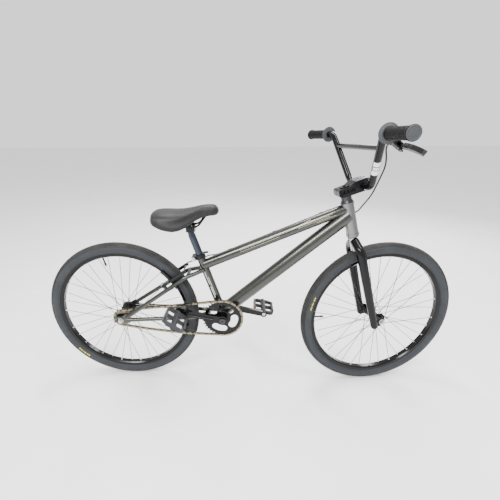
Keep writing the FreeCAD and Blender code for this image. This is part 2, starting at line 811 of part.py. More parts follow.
def pedal_body(side, tilt):
    """A moulded platform: an outline frame, a barrel for the axle and cross webs."""
    fore = V(math.cos(radians(tilt)), 0, math.sin(radians(tilt)))
    up = V(-math.sin(radians(tilt)), 0, math.cos(radians(tilt)))
    middle = pedal_centre(side, sum(PEDAL_REACH) / 2)
    width = PEDAL_REACH[1] - PEDAL_REACH[0]
    half = width / 2
    outline = [
        middle + fore * 42 - Y_AXIS * (side * (half - 8)),
        middle + fore * 42 + Y_AXIS * (side * (half - 12)),
        middle + fore * 26 + Y_AXIS * (side * half),
        middle - fore * 26 + Y_AXIS * (side * half),
        middle - fore * 42 + Y_AXIS * (side * (half - 12)),
        middle - fore * 42 - Y_AXIS * (side * (half - 8)),
        middle - fore * 30 - Y_AXIS * (side * half),
        middle + fore * 30 - Y_AXIS * (side * half),
    ]
    lowered = [point - up * 7.5 for point in outline]
    plate = prism(lowered, up * 15)
    windows = []
    for fore_shift in (-22, 22):
        for side_shift in (-22, 22):
            centre = middle + fore * fore_shift + Y_AXIS * (side * side_shift)
            windows.append(block(centre, fore, Y_AXIS, (26, 37, 40)))
    body = plate.cut(windows)
    edges = [block(middle + fore * shift, fore, Y_AXIS, (7, 72, 24)) for shift in (-38.5, 38.5)]
    barrel = rod(pedal_centre(side, PEDAL_REACH[0]), pedal_centre(side, PEDAL_REACH[1] + 1.5), 11.0)
    body = join([body, barrel] + edges)
    bore_end = pedal_centre(side, PEDAL_REACH[1] - 5.5)
    bore = rod(pedal_centre(side, PEDAL_REACH[0] - 5), bore_end, 5.0 + RUNNING_GAP)
    return body.cut(bore)


# ------------------------------------------------------------------ wheels


def tyre(hub):
    """An open carcass with a bead each side and a rounded tread."""
    crown = TYRE_RADIUS
    half = TYRE_WIDTH / 2
    middle = crown - half
    waist = 14.4
    neck = middle - math.sqrt(half**2 - waist**2)
    rim_edge = (RIM_RADIUS + 0.35, RIM_WIDTH / 2 - 1.5)
    inner_half = 18.8
    inner_waist = 9.2
    inner_neck = middle - math.sqrt(inner_half**2 - inner_waist**2)
    bead = 253.2
    return revolved([
        (bead, -10.6),
        (rim_edge[0], -rim_edge[1]),
        (neck, -waist),
        (neck, waist, crown, 0.0),
        (rim_edge[0], rim_edge[1]),
        (bead, 10.6),
        (bead, 7.6),
        (inner_neck, inner_waist),
        (inner_neck, -inner_waist, middle + inner_half, 0.0),
        (bead, -7.6),
    ], hub)


def inner_tube(hub, valve_angle):
    """The air tube inside the tyre, with its valve through the rim."""
    middle = TYRE_RADIUS - TYRE_WIDTH / 2
    tube = Part.makeTorus(middle, 18.0, hub, Y_AXIS)
    tube = tube.cut(Part.makeTorus(middle, 16.8, hub, Y_AXIS))
    out = V(math.cos(radians(valve_angle)), 0, math.sin(radians(valve_angle)))
    stem = rod(hub + out * (middle - 17.3), hub + out * 222, 3.2)
    cap = join([
        rod(hub + out * 222, hub + out * 216, 4.2),
        rod(hub + out * 216, hub + out * 210, 3.4),
    ])
    return [join([tube, stem]), cap]


def rim(hub, valve_angle):
    """A box-section rim with two side walls, its spoke holes hidden by the nipples."""
    half = RIM_WIDTH / 2
    wall = 1.2
    bed = 252.6
    body = revolved([
        (RIM_RADIUS, half),
        (250.5, half),
        (RIM_INNER_RADIUS, 9.0),
        (RIM_INNER_RADIUS, -9.0),
        (250.5, -half),
        (RIM_RADIUS, -half),
        (RIM_RADIUS, -half + wall),
        (bed, -half + wall),
        (bed, half - wall),
        (RIM_RADIUS, half - wall),
    ], hub)
    out = V(math.cos(radians(valve_angle)), 0, math.sin(radians(valve_angle)))
    return body.cut(rod(hub + out * 240, hub + out * 262, 3.5))


FLANGE_THICKNESS = 3.0
ELBOW_RADIUS = 1.15
NIPPLE_LENGTH = 11.0


def spokes(hub, flanges, hole_radius, first_angle):
    """Tangent spokes, crossed three times, each with a nipple at the rim."""
    solids = []
    per_flange = SPOKE_COUNT // 2
    step = 360.0 / per_flange
    rim_step = 360.0 / SPOKE_COUNT
    for index, flange in enumerate(flanges):
        side = 1 if flange > 0 else -1
        for k in range(per_flange):
            leads = 1 if k % 2 == 0 else -1
            head = first_angle + step * k + index * rim_step
            foot = head + leads * (3.0 * step)
            stand_off = 3.4 if leads > 0 else 1.0
            plane = flange + side * leads * (FLANGE_THICKNESS / 2 + stand_off)
            start = hub + polar(hole_radius, head, plane)
            end = hub + polar(RIM_INNER_RADIUS - 0.7, foot, side * 3.0)
            along = (end - start).normalize()
            neck = end - along * NIPPLE_LENGTH
            through = hub + polar(hole_radius, head, flange - side * leads * (FLANGE_THICKNESS / 2 + 0.8))
            solids.append(join([rod(start, neck, 1.0), rod(start, through, ELBOW_RADIUS)]))
            solids.append(join([
                rod(neck, end, 1.7),
                rod(end - along * 2.5, end, 2.6),
            ]))
    return solids


def polar(radius, angle, y):
    return V(radius * math.cos(radians(angle)), y, radius * math.sin(radians(angle)))


def hub_shell(hub, flanges, flange_radius, hole_radius, ends, first_angle):
    """A barrel with two drilled flanges, and a cartridge bearing in each end."""
    left, right = max(flanges), min(flanges)
    barrel = rod(hub + Y_AXIS * ends[0], hub + Y_AXIS * ends[1], 15.5)
    discs = []
    for flange in flanges:
        low = hub + Y_AXIS * (flange - FLANGE_THICKNESS / 2)
        high = hub + Y_AXIS * (flange + FLANGE_THICKNESS / 2)
        discs.append(rod(low, high, flange_radius))
    waist = ring(hub + Y_AXIS * (right + 6), hub + Y_AXIS * (left - 6), 30, 11.5)
    shell = join([barrel] + discs).cut(waist)
    shell = shell.cut(rod(hub + Y_AXIS * ends[0], hub + Y_AXIS * ends[1], 7.0))
    holes = []
    per_flange = SPOKE_COUNT // 2
    for index, flange in enumerate(flanges):
        for k in range(per_flange):
            angle = first_angle + 360.0 / per_flange * k + index * 360.0 / SPOKE_COUNT
            low = hub + polar(hole_radius, angle, flange - 4)
            high = hub + polar(hole_radius, angle, flange + 4)
            holes.append(rod(low, high, ELBOW_RADIUS + 0.1))
    shell = shell.cut(holes)
    bearings = []
    for end, inward in ((ends[0], 1), (ends[1], -1)):
        mouth = hub + Y_AXIS * end
        back = hub + Y_AXIS * (end + inward * 7.0)
        shell = shell.cut(rod(mouth, back, 12.0))
        bearings.append(ring(mouth, back, 12.0, AXLE_CORE + RUNNING_GAP))
    return [shell] + bearings


FRONT_FLANGES = (34.0, -34.0)
REAR_FLANGES = (34.0, -29.0)
FRONT_HOLES = 19.0
REAR_HOLES = 22.0
FRONT_SPOKE_ANGLE = 4.0
REAR_SPOKE_ANGLE = 8.0
FRONT_VALVE = 179.0
REAR_VALVE = 103.0
FREEWHEEL_FACES = (-36.0, -48.4)


def rear_hub():
    ends = (-36.0, 42.0)
    solids = hub_shell(REAR_HUB, REAR_FLANGES, 26.0, REAR_HOLES, ends, REAR_SPOKE_ANGLE)
    near, far = [REAR_HUB + Y_AXIS * y for y in FREEWHEEL_FACES]
    return solids + [ring(near, far, FREEWHEEL_RADIUS, 7.5)]


# ------------------------------------------------------------------ fork and headset

LEG_SIDE = 58.0
LEG_FOOT = -6.0
CROWN_HEIGHT = 336.0


def fork_leg():
    """The left leg: straight and tapered to the dropout, bent in at the top to the crown."""
    low = steer(LEG_FOOT, 0, LEG_SIDE)
    knee = steer(262, 0, 49)
    shoulder = steer(325, 0, 33)
    root = steer(CROWN_HEIGHT, 0, 6)
    leg = cone(low, knee, 13.5, 16.0)
    bend = bent_rod([knee, steer(306, 0, 46), root], [34], 16.0)
    foot = Part.makeSphere(13.5, low)
    whole = join([leg, bend, Part.makeSphere(16.0, knee), foot])
    whole = whole.common(block(V(400, 250, 400), X_AXIS, Y_AXIS, (900, 500, 900)))
    whole = whole.cut(rod(steer(290), steer(HEAD_TUBE_LOW), STEERER_RADIUS))
    inside = cone(steer(20, 0, 57), knee, 11.0, 13.5)
    return largest(whole.cut(inside))


def fork_dropout(side):
    """A plate ahead of the leg with a slot that is open below."""
    inner = side * 50.0
    wheel = steer(0, FORK_OFFSET, inner)
    outline = []
    for up, ahead in ((-17, -4), (30, -4), (34, 8), (10, 42), (-12, 44), (-17, 30)):
        outline.append(steer(up, ahead, inner))
    plate = prism(outline, Y_AXIS * (side * 6.0))
    slot = block(wheel - STEER_UP * 15, STEER_UP, Y_AXIS, (30, 20, 2 * AXLE_RADIUS + 0.4))
    bore = rod(wheel - Y_AXIS * 10, wheel + Y_AXIS * 10, AXLE_RADIUS + 0.2)
    return plate.cut([slot, bore])


def fork_legs():
    leg = fork_leg()
    legs = []
    for side, shape in zip(SIDES, both_sides(leg)):
        legs.append(largest(shape.cut(fork_dropout(side))))
    return legs + [fork_dropout(side) for side in SIDES]


def fork_steerer():
    """The hollow steering column, closed round the crown by a collar."""
    column = rod(steer(300), steer(STEM_TOP), STEERER_RADIUS)
    return column.cut(rod(steer(300), steer(STEM_TOP), 12.0))


STEM_LOW = 505.0
STEM_TOP = 534.0


def headset_races():
    """Crown race below the head tube, and a cover and a spacer above it."""
    race = ring(steer(HEAD_TUBE_LOW - 4.5), steer(HEAD_TUBE_LOW - 0.4), 19.5, STEERER_RADIUS)
    high = HEAD_TUBE_HIGH + 0.4
    cover = cone(steer(high), steer(high + 9), 21.5, 17.5)
    cover = cover.cut(rod(steer(high), steer(high + 9), STEERER_RADIUS))
    spacer = ring(steer(high + 9), steer(STEM_LOW), 17.5, STEERER_RADIUS)
    return [race, cover, spacer]


def front_axle():
    shaft = axle_shaft(FRONT_HUB, 56.0 + NUT_HEIGHT, 70.0, (42.4, 50.0), 8.5)
    return [shaft] + [wheel_nut(FRONT_HUB, side, 56.0) for side in SIDES]


# ------------------------------------------------------------------ stem, bar, grips

BAR_CENTRE = steer(STEM_HEIGHT, STEM_REACH)
STEM_HALF = 25.0
FACE_SPLIT = 1.0
BOLT_PLACES = [(up, side) for up in (-16.0, 16.0) for side in (-16.0, 16.0)]


def stem_block():
    """The whole stem before it is split: a steerer clamp, a bridge and a bar clamp."""
    outline = []
    for up, ahead in (
        (STEM_LOW, -16), (STEM_LOW, 66), (STEM_LOW + 6, 72), (541, 72), (546, 66),
        (546, 30), (STEM_TOP, 8), (STEM_TOP, -24), (530, -30), (512, -30), (STEM_LOW + 2, -24),
    ):
        outline.append(steer(up, ahead, -STEM_HALF))
    body = prism(outline, Y_AXIS * (2 * STEM_HALF))
    cutters = [
        rod(steer(STEM_LOW - 5), steer(STEM_TOP + 30), STEERER_RADIUS),
        rod(BAR_CENTRE - Y_AXIS * 40, BAR_CENTRE + Y_AXIS * 40, BAR_RADIUS),
        block(steer(STEM_LOW + 10, -26), STEER_UP, Y_AXIS, (80, 2.0, 30)),
    ]
    for side in SIDES:
        centre = steer(522, 2, side * STEM_HALF)
        cutters.append(block(centre, STEER_AHEAD, STEER_UP, (46, 13, 9)))
        for ahead in (-12, 2, 16):
            hole = steer(522, ahead, side * (STEM_HALF - 9))
            cutters.append(rod(hole, hole + Y_AXIS * (side * 10), 4.2))
    return body.cut(cutters)


def stem_halves():
    whole = stem_block()
    front = block(steer(523, STEM_REACH + FACE_SPLIT + 50), STEER_AHEAD, Y_AXIS, (100, 80, 80))
    back = block(steer(523, STEM_REACH - FACE_SPLIT - 100), STEER_AHEAD, Y_AXIS, (200, 80, 80))
    body = whole.common(back)
    plate = whole.common(front)
    relief = block(steer(523, 76), STEER_AHEAD, Y_AXIS, (16, 14, 60))
    plate = plate.cut(relief)
    return largest(body), largest(plate)


def stem_bolts():
    """Four face-plate bolts, two pinch bolts at the rear, and the top cap with its bolt."""
    bolts = []
    for up, side in BOLT_PLACES:
        face = steer(STEM_HEIGHT + up, 72, side)
        tip = steer(STEM_HEIGHT + up, STEM_REACH - 14, side)
        shank = rod(face, tip, 2.5)
        head = rod(face, face + STEER_AHEAD * 5, 4.3)
        socket = hex_prism(face + STEER_AHEAD * 2, face + STEER_AHEAD * 6, 4.0)
        bolts.append(join([shank, head]).cut(socket))
    for up in (514.0, 526.0):
        start = steer(up, -22.5, -STEM_HALF)
        end = steer(up, -22.5, 16)
        head = rod(start, start - Y_AXIS * 4, 4.3)
        socket = hex_prism(start - Y_AXIS * 1.5, start - Y_AXIS * 5, 4.0)
        bolts.append(join([rod(start, end, 2.5), head]).cut(socket))
    low = steer(STEM_TOP)
    cap = join([rod(low, low + STEER_UP * 3, 17.0), rod(low + STEER_UP * 3, low + STEER_UP * 6, 5.0)])
    bolts.append(cap.cut(hex_prism(low + STEER_UP * 4, low + STEER_UP * 7, 5.0)))
    return bolts


def bar_point(up, side, back=0.0):
    """A point in the leaning plane of the handlebar."""
    lean = V(-math.sin(radians(BAR_LEAN)), 0, math.cos(radians(BAR_LEAN)))
    return BAR_CENTRE + lean * up + Y_AXIS * side - X_AXIS * back


def sweep_back(side):
    """How far back the bar is, at a distance out from its upper bend."""
    return (side - BAR_UPPER_HALF) * math.tan(radians(BAR_BACKSWEEP))


def bar_end(side, out):
    return bar_point(BAR_RISE, side * out, sweep_back(out))


CROSSBAR_HEIGHT = 124.0


def handlebar():
    """A bent tube with a welded crossbar."""
    points = [
        bar_end(1, BAR_HALF_WIDTH),
        bar_point(BAR_RISE, BAR_UPPER_HALF),
        bar_point(0, BAR_LOWER_HALF),
        bar_point(0, -BAR_LOWER_HALF),
        bar_point(BAR_RISE, -BAR_UPPER_HALF),
        bar_end(-1, BAR_HALF_WIDTH),
    ]
    radii = [30, 45, 45, 30]
    outer = bent_rod(points, radii, BAR_RADIUS)
    inner = bent_rod(points, radii, BAR_RADIUS - 1.8)
    share = CROSSBAR_HEIGHT / BAR_RISE
    reach = BAR_LOWER_HALF + (BAR_UPPER_HALF - BAR_LOWER_HALF) * share
    crossbar = rod(bar_point(CROSSBAR_HEIGHT, -reach), bar_point(CROSSBAR_HEIGHT, reach), 8.0)
    return join([outer, crossbar]).cut(inner)


def grips():
    """Two rubber grips with a flange inboard, and the plugs in their outer ends."""
    solids = []
    for side in SIDES:
        end = bar_end(side, BAR_HALF_WIDTH)
        inboard = (bar_end(side, BAR_UPPER_HALF + 60) - end).normalize()
        root = end + inboard * GRIP_LENGTH
        sleeve = rod(end, root, 16.0)
        step = root - inboard * 4
        flange = join([rod(root, step, 26.5), rod(step, root - inboard * 7, 20.0)])
        flare = cone(end, end + inboard * 9, 18.5, 16.0)
        grip = join([sleeve, flange, flare])
        solids.append(grip.cut(rod(end, root, BAR_RADIUS)))
    for side in SIDES:
        end = bar_end(side, BAR_HALF_WIDTH)
        outward = (end - bar_end(side, BAR_UPPER_HALF + 60)).normalize()
        solids.append(join([
            rod(end, end + outward * 3.0, 17.0),
            rod(end - outward * 14, end, BAR_RADIUS - 2.0),
        ]))
    return solids


# ------------------------------------------------------------------ brake lever

LEVER_SIDE = 201.0
LEVER_DROP = radians(38.0)
LEVER_DOWN = V(math.cos(LEVER_DROP), 0, -math.sin(LEVER_DROP))
LEVER_NORMAL = V(math.sin(LEVER_DROP), 0, math.cos(LEVER_DROP))


def lever_point(drop, out, up=0.0):
    """A point of the lever's plane: distance ahead of the bar, and out from the centre plane."""
    centre = bar_end(-1, LEVER_SIDE)
    return centre + LEVER_DOWN * drop - Y_AXIS * (out - LEVER_SIDE) + LEVER_NORMAL * up


LEVER_PIVOT = (54.0, 204.0)
FORK_GAP = 9.0


def bar_axis(side):
    return (bar_end(side, BAR_HALF_WIDTH) - bar_end(side, BAR_UPPER_HALF + 20)).normalize()


def lever_bracket():
    """A clamp round the bar with a forked perch, its pivot pin and the cable adjuster."""
    axis = bar_axis(-1)
    centre = bar_end(-1, LEVER_SIDE)
    clamp = rod(centre - axis * 5.5, centre + axis * 5.5, BAR_RADIUS + 3.5)
    perch = prism([
        lever_point(8, 206, -8), lever_point(8, 196, -8), lever_point(34, 186, -8),
        lever_point(52, 190, -8), lever_point(64, 196, -8), lever_point(64, 210, -8),
        lever_point(48, 211, -8), lever_point(30, 207, -8),
    ], LEVER_NORMAL * 16)
    body = join([clamp, perch])
    far = 400
    pivot = lever_point(*LEVER_PIVOT)
    gap = block(lever_point(54, 217), LEVER_DOWN, Y_AXIS, (38, 46, FORK_GAP))
    body = body.cut([
        rod(centre - axis * far, centre + axis * far, BAR_RADIUS),
        gap,
        rod(pivot - LEVER_NORMAL * 20, pivot + LEVER_NORMAL * 20, 2.6),
    ])
    pin = rod(pivot - LEVER_NORMAL * 9, pivot + LEVER_NORMAL * 9, 2.5)
    adjuster_start = lever_point(42, 190)
    adjuster_end = lever_point(42, 172)
    adjuster = join([
        rod(adjuster_start, adjuster_end, 3.4),
        cone(adjuster_end, lever_point(42, 167), 5.0, 4.0),
    ])
    adjuster = adjuster.cut(body)
    return [largest(body), pin, largest(adjuster)]


def lever_blade():
    """A blade that turns on the pin, wider beyond the fork, with a tip that curls away."""
    half = FORK_GAP / 2 - 0.35
    edge = [
        (46, 199), (45, 208), (44, 222), (46, 238), (51, 254), (59, 269), (68, 281),
        (75, 285), (80, 279), (72, 266), (64, 252), (58, 238), (55, 224), (58, 210), (62, 203), (58, 197),
    ]
    root = prism([lever_point(drop, out, -half) for drop, out in edge], LEVER_NORMAL * (2 * half))
    wide = prism([lever_point(drop, out, -6.5) for drop, out in edge], LEVER_NORMAL * 13)
    wide = wide.common(block(lever_point(60, 265), LEVER_DOWN, Y_AXIS, (80, 84, 40)))
    groove_start = lever_point(53, 234, 6.5)
    groove_end = lever_point(67, 268, 6.5)
    grooves = [
        rod(groove_start + LEVER_DOWN * shift, groove_end + LEVER_DOWN * shift, 1.2) for shift in (-2, 2.5)
    ]
    blade = join([root, wide]).cut(grooves)
    pivot = lever_point(*LEVER_PIVOT)
    return blade.cut(rod(pivot - LEVER_NORMAL * 20, pivot + LEVER_NORMAL * 20, 2.5 + RUNNING_GAP))


# ------------------------------------------------------------------ rear brake

PAD_REACH = 27.5


def brake_point(up, side, back):
    """A point given along the brake arm, out from the centre plane, and back from the stay."""
    return BRAKE_PIVOT + STAY_UP * up + Y_AXIS * side + STAY_BACK * back


def brake_arm(side):
    """A forged arm with an eye on the stud, a slot for the pad and a head for the cable."""
    low, high = ARM_DEPTH
    outline = [
        brake_point(-8, side * 44, low), brake_point(-8, side * 36, low), brake_point(6, side * 33, low),
        brake_point(38, side * 34, low), brake_point(70, side * 31, low), brake_point(98, side * 30, low),
        brake_point(103, side * 32, low), brake_point(103, side * 38, low), brake_point(96, side * 40, low),
        brake_point(60, side * 43, low), brake_point(36, side * 47, low), brake_point(6, side * 47, low),
    ]
    arm = prism(outline, STAY_BACK * (high - low))
    eye_low = brake_point(0, side * BRAKE_PIVOT_SIDE, low)
    eye_high = brake_point(0, side * BRAKE_PIVOT_SIDE, high)
    arm = join([arm, rod(eye_low, eye_high, 9.5)])
    pad_hole = brake_point(PAD_REACH, side * 30, (low + high) / 2)
    return arm.cut([
        rod(eye_low - STAY_BACK * 5, eye_high + STAY_BACK * 5, BOLT_RADIUS + 1.2 + RUNNING_GAP),
        rod(pad_hole, pad_hole + Y_AXIS * (side * 30), 3.1),
    ])


def brake_pad(side):
    """A curved rubber block on a threaded post, held in the arm by a nut."""
    back = sum(ARM_DEPTH) / 2
    post = rod(brake_point(PAD_REACH, side * 23, back), brake_point(PAD_REACH, side * 51, back), 3.0)
    nut = hex_prism(brake_point(PAD_REACH, side * 47.3, back), brake_point(PAD_REACH, side * 51, back), 10.0)
    washer = rod(brake_point(PAD_REACH, side * 25, back), brake_point(PAD_REACH, side * 32, back), 6.5)
    shoe = []
    reach = BRAKE_PIVOT_REACH + PAD_REACH
    for turn in range(5):
        angle = STAY_ANGLE + math.degrees(back / reach) - 8.0 + turn * 4.0
        centre = REAR_HUB + polar(reach, angle, side * 19.5)
        along = polar(1, angle + 90, 0)
        shoe.append(block(centre, along, Y_AXIS, (20, 8.0, 9.5)))
    arm = brake_arm(side)
    holder = join([post, washer])
    stud_bore = rod(brake_point(PAD_REACH, side * 20, back), brake_point(PAD_REACH, side * 60, back), 3.1)
    holder = holder.cut(arm.cut(stud_bore))
    return [join([largest(holder), nut] + shoe)]


CABLE_LEVEL = 94.0
NOODLE_BACK = 18.5


def brake_noodle():
    """The bent metal guide that brings the cable round to the left arm's head."""
    points = [
        brake_point(CABLE_LEVEL, 24, NOODLE_BACK),
        brake_point(CABLE_LEVEL, 62, NOODLE_BACK),
        brake_point(CABLE_LEVEL + 34, 66, NOODLE_BACK - 14),
    ]
    guide = bent_rod(points, [24], 2.6)
    return guide


def noodle_path_end():
    return brake_point(CABLE_LEVEL + 34, 66, NOODLE_BACK - 14)


def brake_cable_link():
    """The bare inner wire between the arms in its rubber boot, with its anchor bolt."""
    boot_wide = brake_point(CABLE_LEVEL, 23.7, NOODLE_BACK)
    boot_tip = brake_point(CABLE_LEVEL, -4, NOODLE_BACK)
    boot = cone(boot_wide, boot_tip, 4.2, 2.2)
    wire = rod(brake_point(CABLE_LEVEL, -4, NOODLE_BACK), brake_point(CABLE_LEVEL, -29.7, NOODLE_BACK), 0.9)
    return join([boot, wire])


# ------------------------------------------------------------------ brake cable housing


def cable_clip(share):
    return top_tube_point(share, CABLE_SIDE_ANGLE, CABLE_GAP)


def front_loop_route():
    """From the lever's adjuster, down in front of the head tube, to the first clip."""
    return [
        steered_point(lever_point(42, 166)),
        steered_point(lever_point(42, 140)),
        steered_point(steer(590, 93, -112)),
        steered_point(steer(545, 80, -84)),
        steered_point(steer(493, 62, -54)),
        steered_point(steer(460, 40, -26)),
        steer(437, 31, 2),
        steer(424, 16, 30),
        cable_clip(0.93) + V(0, 6, 0),
        cable_clip(0.88),
    ]


def steered_point(point):
    vertex = Part.Vertex(point)
    return steered(vertex).Point


def rear_loop_route():
    """From the last clip, round behind the seat tube, to the noodle."""
    start = cable_clip(GUIDE_SHARES[0] - 0.03)
    onward = (noodle_path_end() - brake_point(CABLE_LEVEL, 62, NOODLE_BACK)).normalize()
    end = noodle_path_end() + onward
    return [
        start,
        cable_clip(GUIDE_SHARES[0] - 0.10) + V(0, 5, -1),
        cable_clip(GUIDE_SHARES[0] - 0.16) + V(-4, 18, 4),
        end + onward * 34,
        end,
    ]


def cord(points):
    """A length of cable housing along a hand-laid route; prints the radii of its bends."""
    radii = cord_radii(points)
    path = tangent_path(points, radii)
    solid = pipe(path, CABLE_RADIUS)
    section = math.pi * CABLE_RADIUS**2
    print("cord", [round(r) for r in radii], "length", round(path.Length),
          "volume error", round(solid.Volume / (section * path.Length) - 1, 4))
    return solid


def cable_top_run():
    """The straight stretch of housing through the clips."""
    return rod(cable_clip(0.88), cable_clip(GUIDE_SHARES[0] - 0.03), CABLE_RADIUS)


# ------------------------------------------------------------------ saddle and post

POST_LOW = 130.0
POST_HIGH = 362.0
RAIL_SIDE = 22.0
RAIL_RADIUS = 3.5
SADDLE_TAIL = REAR_X + 149.0
SADDLE_LEVEL = 660.0

# The saddle's sections from tail to nose: distance from the tail, half width, and the
# heights of the top and of the skirt above the saddle's level.
SADDLE_SECTIONS = (
    (0, 26, 38, 30),
    (8, 49, 49, 22),
    (27, 66, 56, 14),
    (56, 75, 59, 5),
    (88, 75, 60, 1),
    (113, 69, 62, 6),
    (136, 57, 66, 17),
    (156, 44, 71, 29),
    (181, 31, 78, 40),
    (206, 26, 82, 45),
    (226, 21, 79, 46),
    (239, 10, 66, 50),
)


def saddle_point(along, side, up):
    """A point at a distance from the saddle's tail, out from the centre plane and up."""
    return V(SADDLE_TAIL + along, side, SADDLE_LEVEL + up)


def seatpost():
    tube = rod(seat(POST_LOW), seat(POST_HIGH), POST_RADIUS)
    tube = tube.cut(rod(seat(POST_LOW), seat(POST_HIGH), POST_RADIUS - 2.0))
    head = cone(seat(POST_HIGH - 24), seat(POST_HIGH), POST_RADIUS, 11.0)
    head = head.cut(rod(seat(POST_HIGH - 24), seat(POST_HIGH - 4), 9.0))
    return join([tube.cut(rod(seat(POST_HIGH - 24), seat(POST_HIGH), POST_RADIUS)), head])


def saddle_clamp():
    """The cradle under the rails with its cross bolt and end washers."""
    cradle = block(saddle_point(137, 0, -5), X_AXIS, Y_AXIS, (32, 34, 20))
    post_hole = rod(seat(POST_HIGH - 40), seat(POST_HIGH), POST_RADIUS)
    ears = [rod(saddle_point(137, side * 17, 3), saddle_point(137, side * 31, 3), 11.0) for side in SIDES]
    bolt = rod(saddle_point(137, -37, 3), saddle_point(137, 37, 3), 4.0)
    nuts = [
        hex_prism(saddle_point(137, side * 31, 3), saddle_point(137, side * 36, 3), 13.0) for side in SIDES
    ]
    rails = [rail(side) for side in SIDES]
    body = join([cradle] + ears + [bolt] + nuts)
    return largest(body.cut([post_hole] + rails))


def rail(side):
    points = [
        saddle_point(32, side * 32, 35),
        saddle_point(44, side * 28, 6),
        saddle_point(66, side * RAIL_SIDE, 2),
        saddle_point(164, side * RAIL_SIDE, 6),
        saddle_point(206, side * 9, 60),
    ]
    return bent_rod(points, [12, 24, 30], RAIL_RADIUS)


def cushion_section(along, half, top, skirt):
    """One cross-section of the padding: a crowned skin over a hollow for the shell."""
    depth = top - skirt
    skin = [
        (-0.90, skirt), (-1.0, skirt + 0.34 * depth),
        (-0.93, skirt + 0.70 * depth), (-0.60, top - 0.08 * depth),
        (0.0, top), (0.60, top - 0.08 * depth), (0.93, skirt + 0.70 * depth), (1.0, skirt + 0.34 * depth),
        (0.90, skirt),
    ]
    curve = Part.BSplineCurve()
    curve.interpolate([saddle_point(along, share * half, up) for share, up in skin])
    inner = shell_half_width(half)
    level = shell_level(top, skirt)
    hollow = [(0.90 * half, skirt), (inner, skirt + 0.5), (inner, level), (-inner, level),
              (-inner, skirt + 0.5), (-0.90 * half, skirt)]
    edges = [curve.toShape()]
    for first, second in zip(hollow, hollow[1:]):
        edges.append(Part.LineSegment(saddle_point(along, *first), saddle_point(along, *second)).toShape())
    return Part.Wire(edges)


def shell_half_width(half):
    return 0.90 * half - min(7.0, 0.35 * half)


def shell_level(top, skirt):
    return top - max(0.45 * (top - skirt), 3.0)


def saddle_cushion():
    """The padded cover, hollow below where the shell and the rails sit."""
    return Part.makeLoft([cushion_section(*section) for section in SADDLE_SECTIONS], True, False)


def saddle_base():
    """The stiff shell under the padding, which holds the ends of the rails."""
    wires = []
    for along, half, top, skirt in SADDLE_SECTIONS[2:-1]:
        width = shell_half_width(half) - 3.5
        high = shell_level(top, skirt) - 1.4
        low = high - 3.6
        corners = [
            saddle_point(along, -width, low), saddle_point(along, width, low),
            saddle_point(along, width, high), saddle_point(along, -width, high),
        ]
        wires.append(Part.makePolygon(corners + [corners[0]]))
    shell = Part.makeLoft(wires, True, False)
    return shell.cut([rail(side) for side in SIDES])


# ------------------------------------------------------------------ seat clamp

COLLAR_LOW = SEAT_TUBE_LENGTH - 15
COLLAR_HIGH = SEAT_TUBE_LENGTH - 1
CLAMP_BACK = -25.0


def seat_clamp_collar():
    """A split band round the top of the seat tube with two ears behind."""
    band = rod(seat(COLLAR_LOW), seat(COLLAR_HIGH), SEAT_TUBE_RADIUS + 3.5)
    ears = block(seat((COLLAR_LOW + COLLAR_HIGH) / 2, CLAMP_BACK + 2), SEAT_AHEAD, Y_AXIS, (16, 22, 14))
    body = join([band, ears])
    middle = (COLLAR_LOW + COLLAR_HIGH) / 2
    skewer = rod(seat(middle, CLAMP_BACK, -40), seat(middle, CLAMP_BACK, 40), 3.0)
    return body.cut([
        rod(seat(COLLAR_LOW - 5), seat(COLLAR_HIGH + 5), SEAT_TUBE_RADIUS),
        block(seat(middle, CLAMP_BACK), SEAT_AHEAD, Y_AXIS, (24, 2.5, 30)),
        skewer,
    ])


def clamp_pivot():
    return seat((COLLAR_LOW + COLLAR_HIGH) / 2, CLAMP_BACK, 18.2)


def seat_clamp_bolt():
    """The skewer through the ears: a knurled nut at one end, the cam's pin at the other."""
    pivot = clamp_pivot()
    far = pivot - Y_AXIS * 40.2
    nut = rod(far + Y_AXIS * 2, pivot - Y_AXIS * 29.4, 7.0)
    pin = rod(pivot - SEAT_UP * 7.2, pivot + SEAT_UP * 7.2, 2.0)
    return join([rod(far, pivot, 3.0), nut, pin])


def seat_clamp_lever():
    """A cam lever with two cheeks on the pin, which folds forward round the collar."""
    pivot = clamp_pivot()
    middle = (COLLAR_LOW + COLLAR_HIGH) / 2
    cheeks = [
        rod(pivot + SEAT_UP * (side * 3.5), pivot + SEAT_UP * (side * 7.5), 6.5) for side in SIDES
    ]
    root = block(pivot + SEAT_AHEAD * 7.5, SEAT_AHEAD, Y_AXIS, (6, 9, 15))
    points = [
        seat(middle, CLAMP_BACK + 8, 18.5),
        seat(middle, -8, 27),
        seat(middle, 10, 27),
        seat(middle, 27, 17),
    ]
    handle = bent_rod(points, [24, 24], 4.0)
    tip = Part.makeSphere(4.0, points[-1])
    body = join(cheeks + [root, handle, tip])
    return body.cut(rod(pivot - SEAT_UP * 10, pivot + SEAT_UP * 10, 2.0 + RUNNING_GAP))


# ------------------------------------------------------------------ build


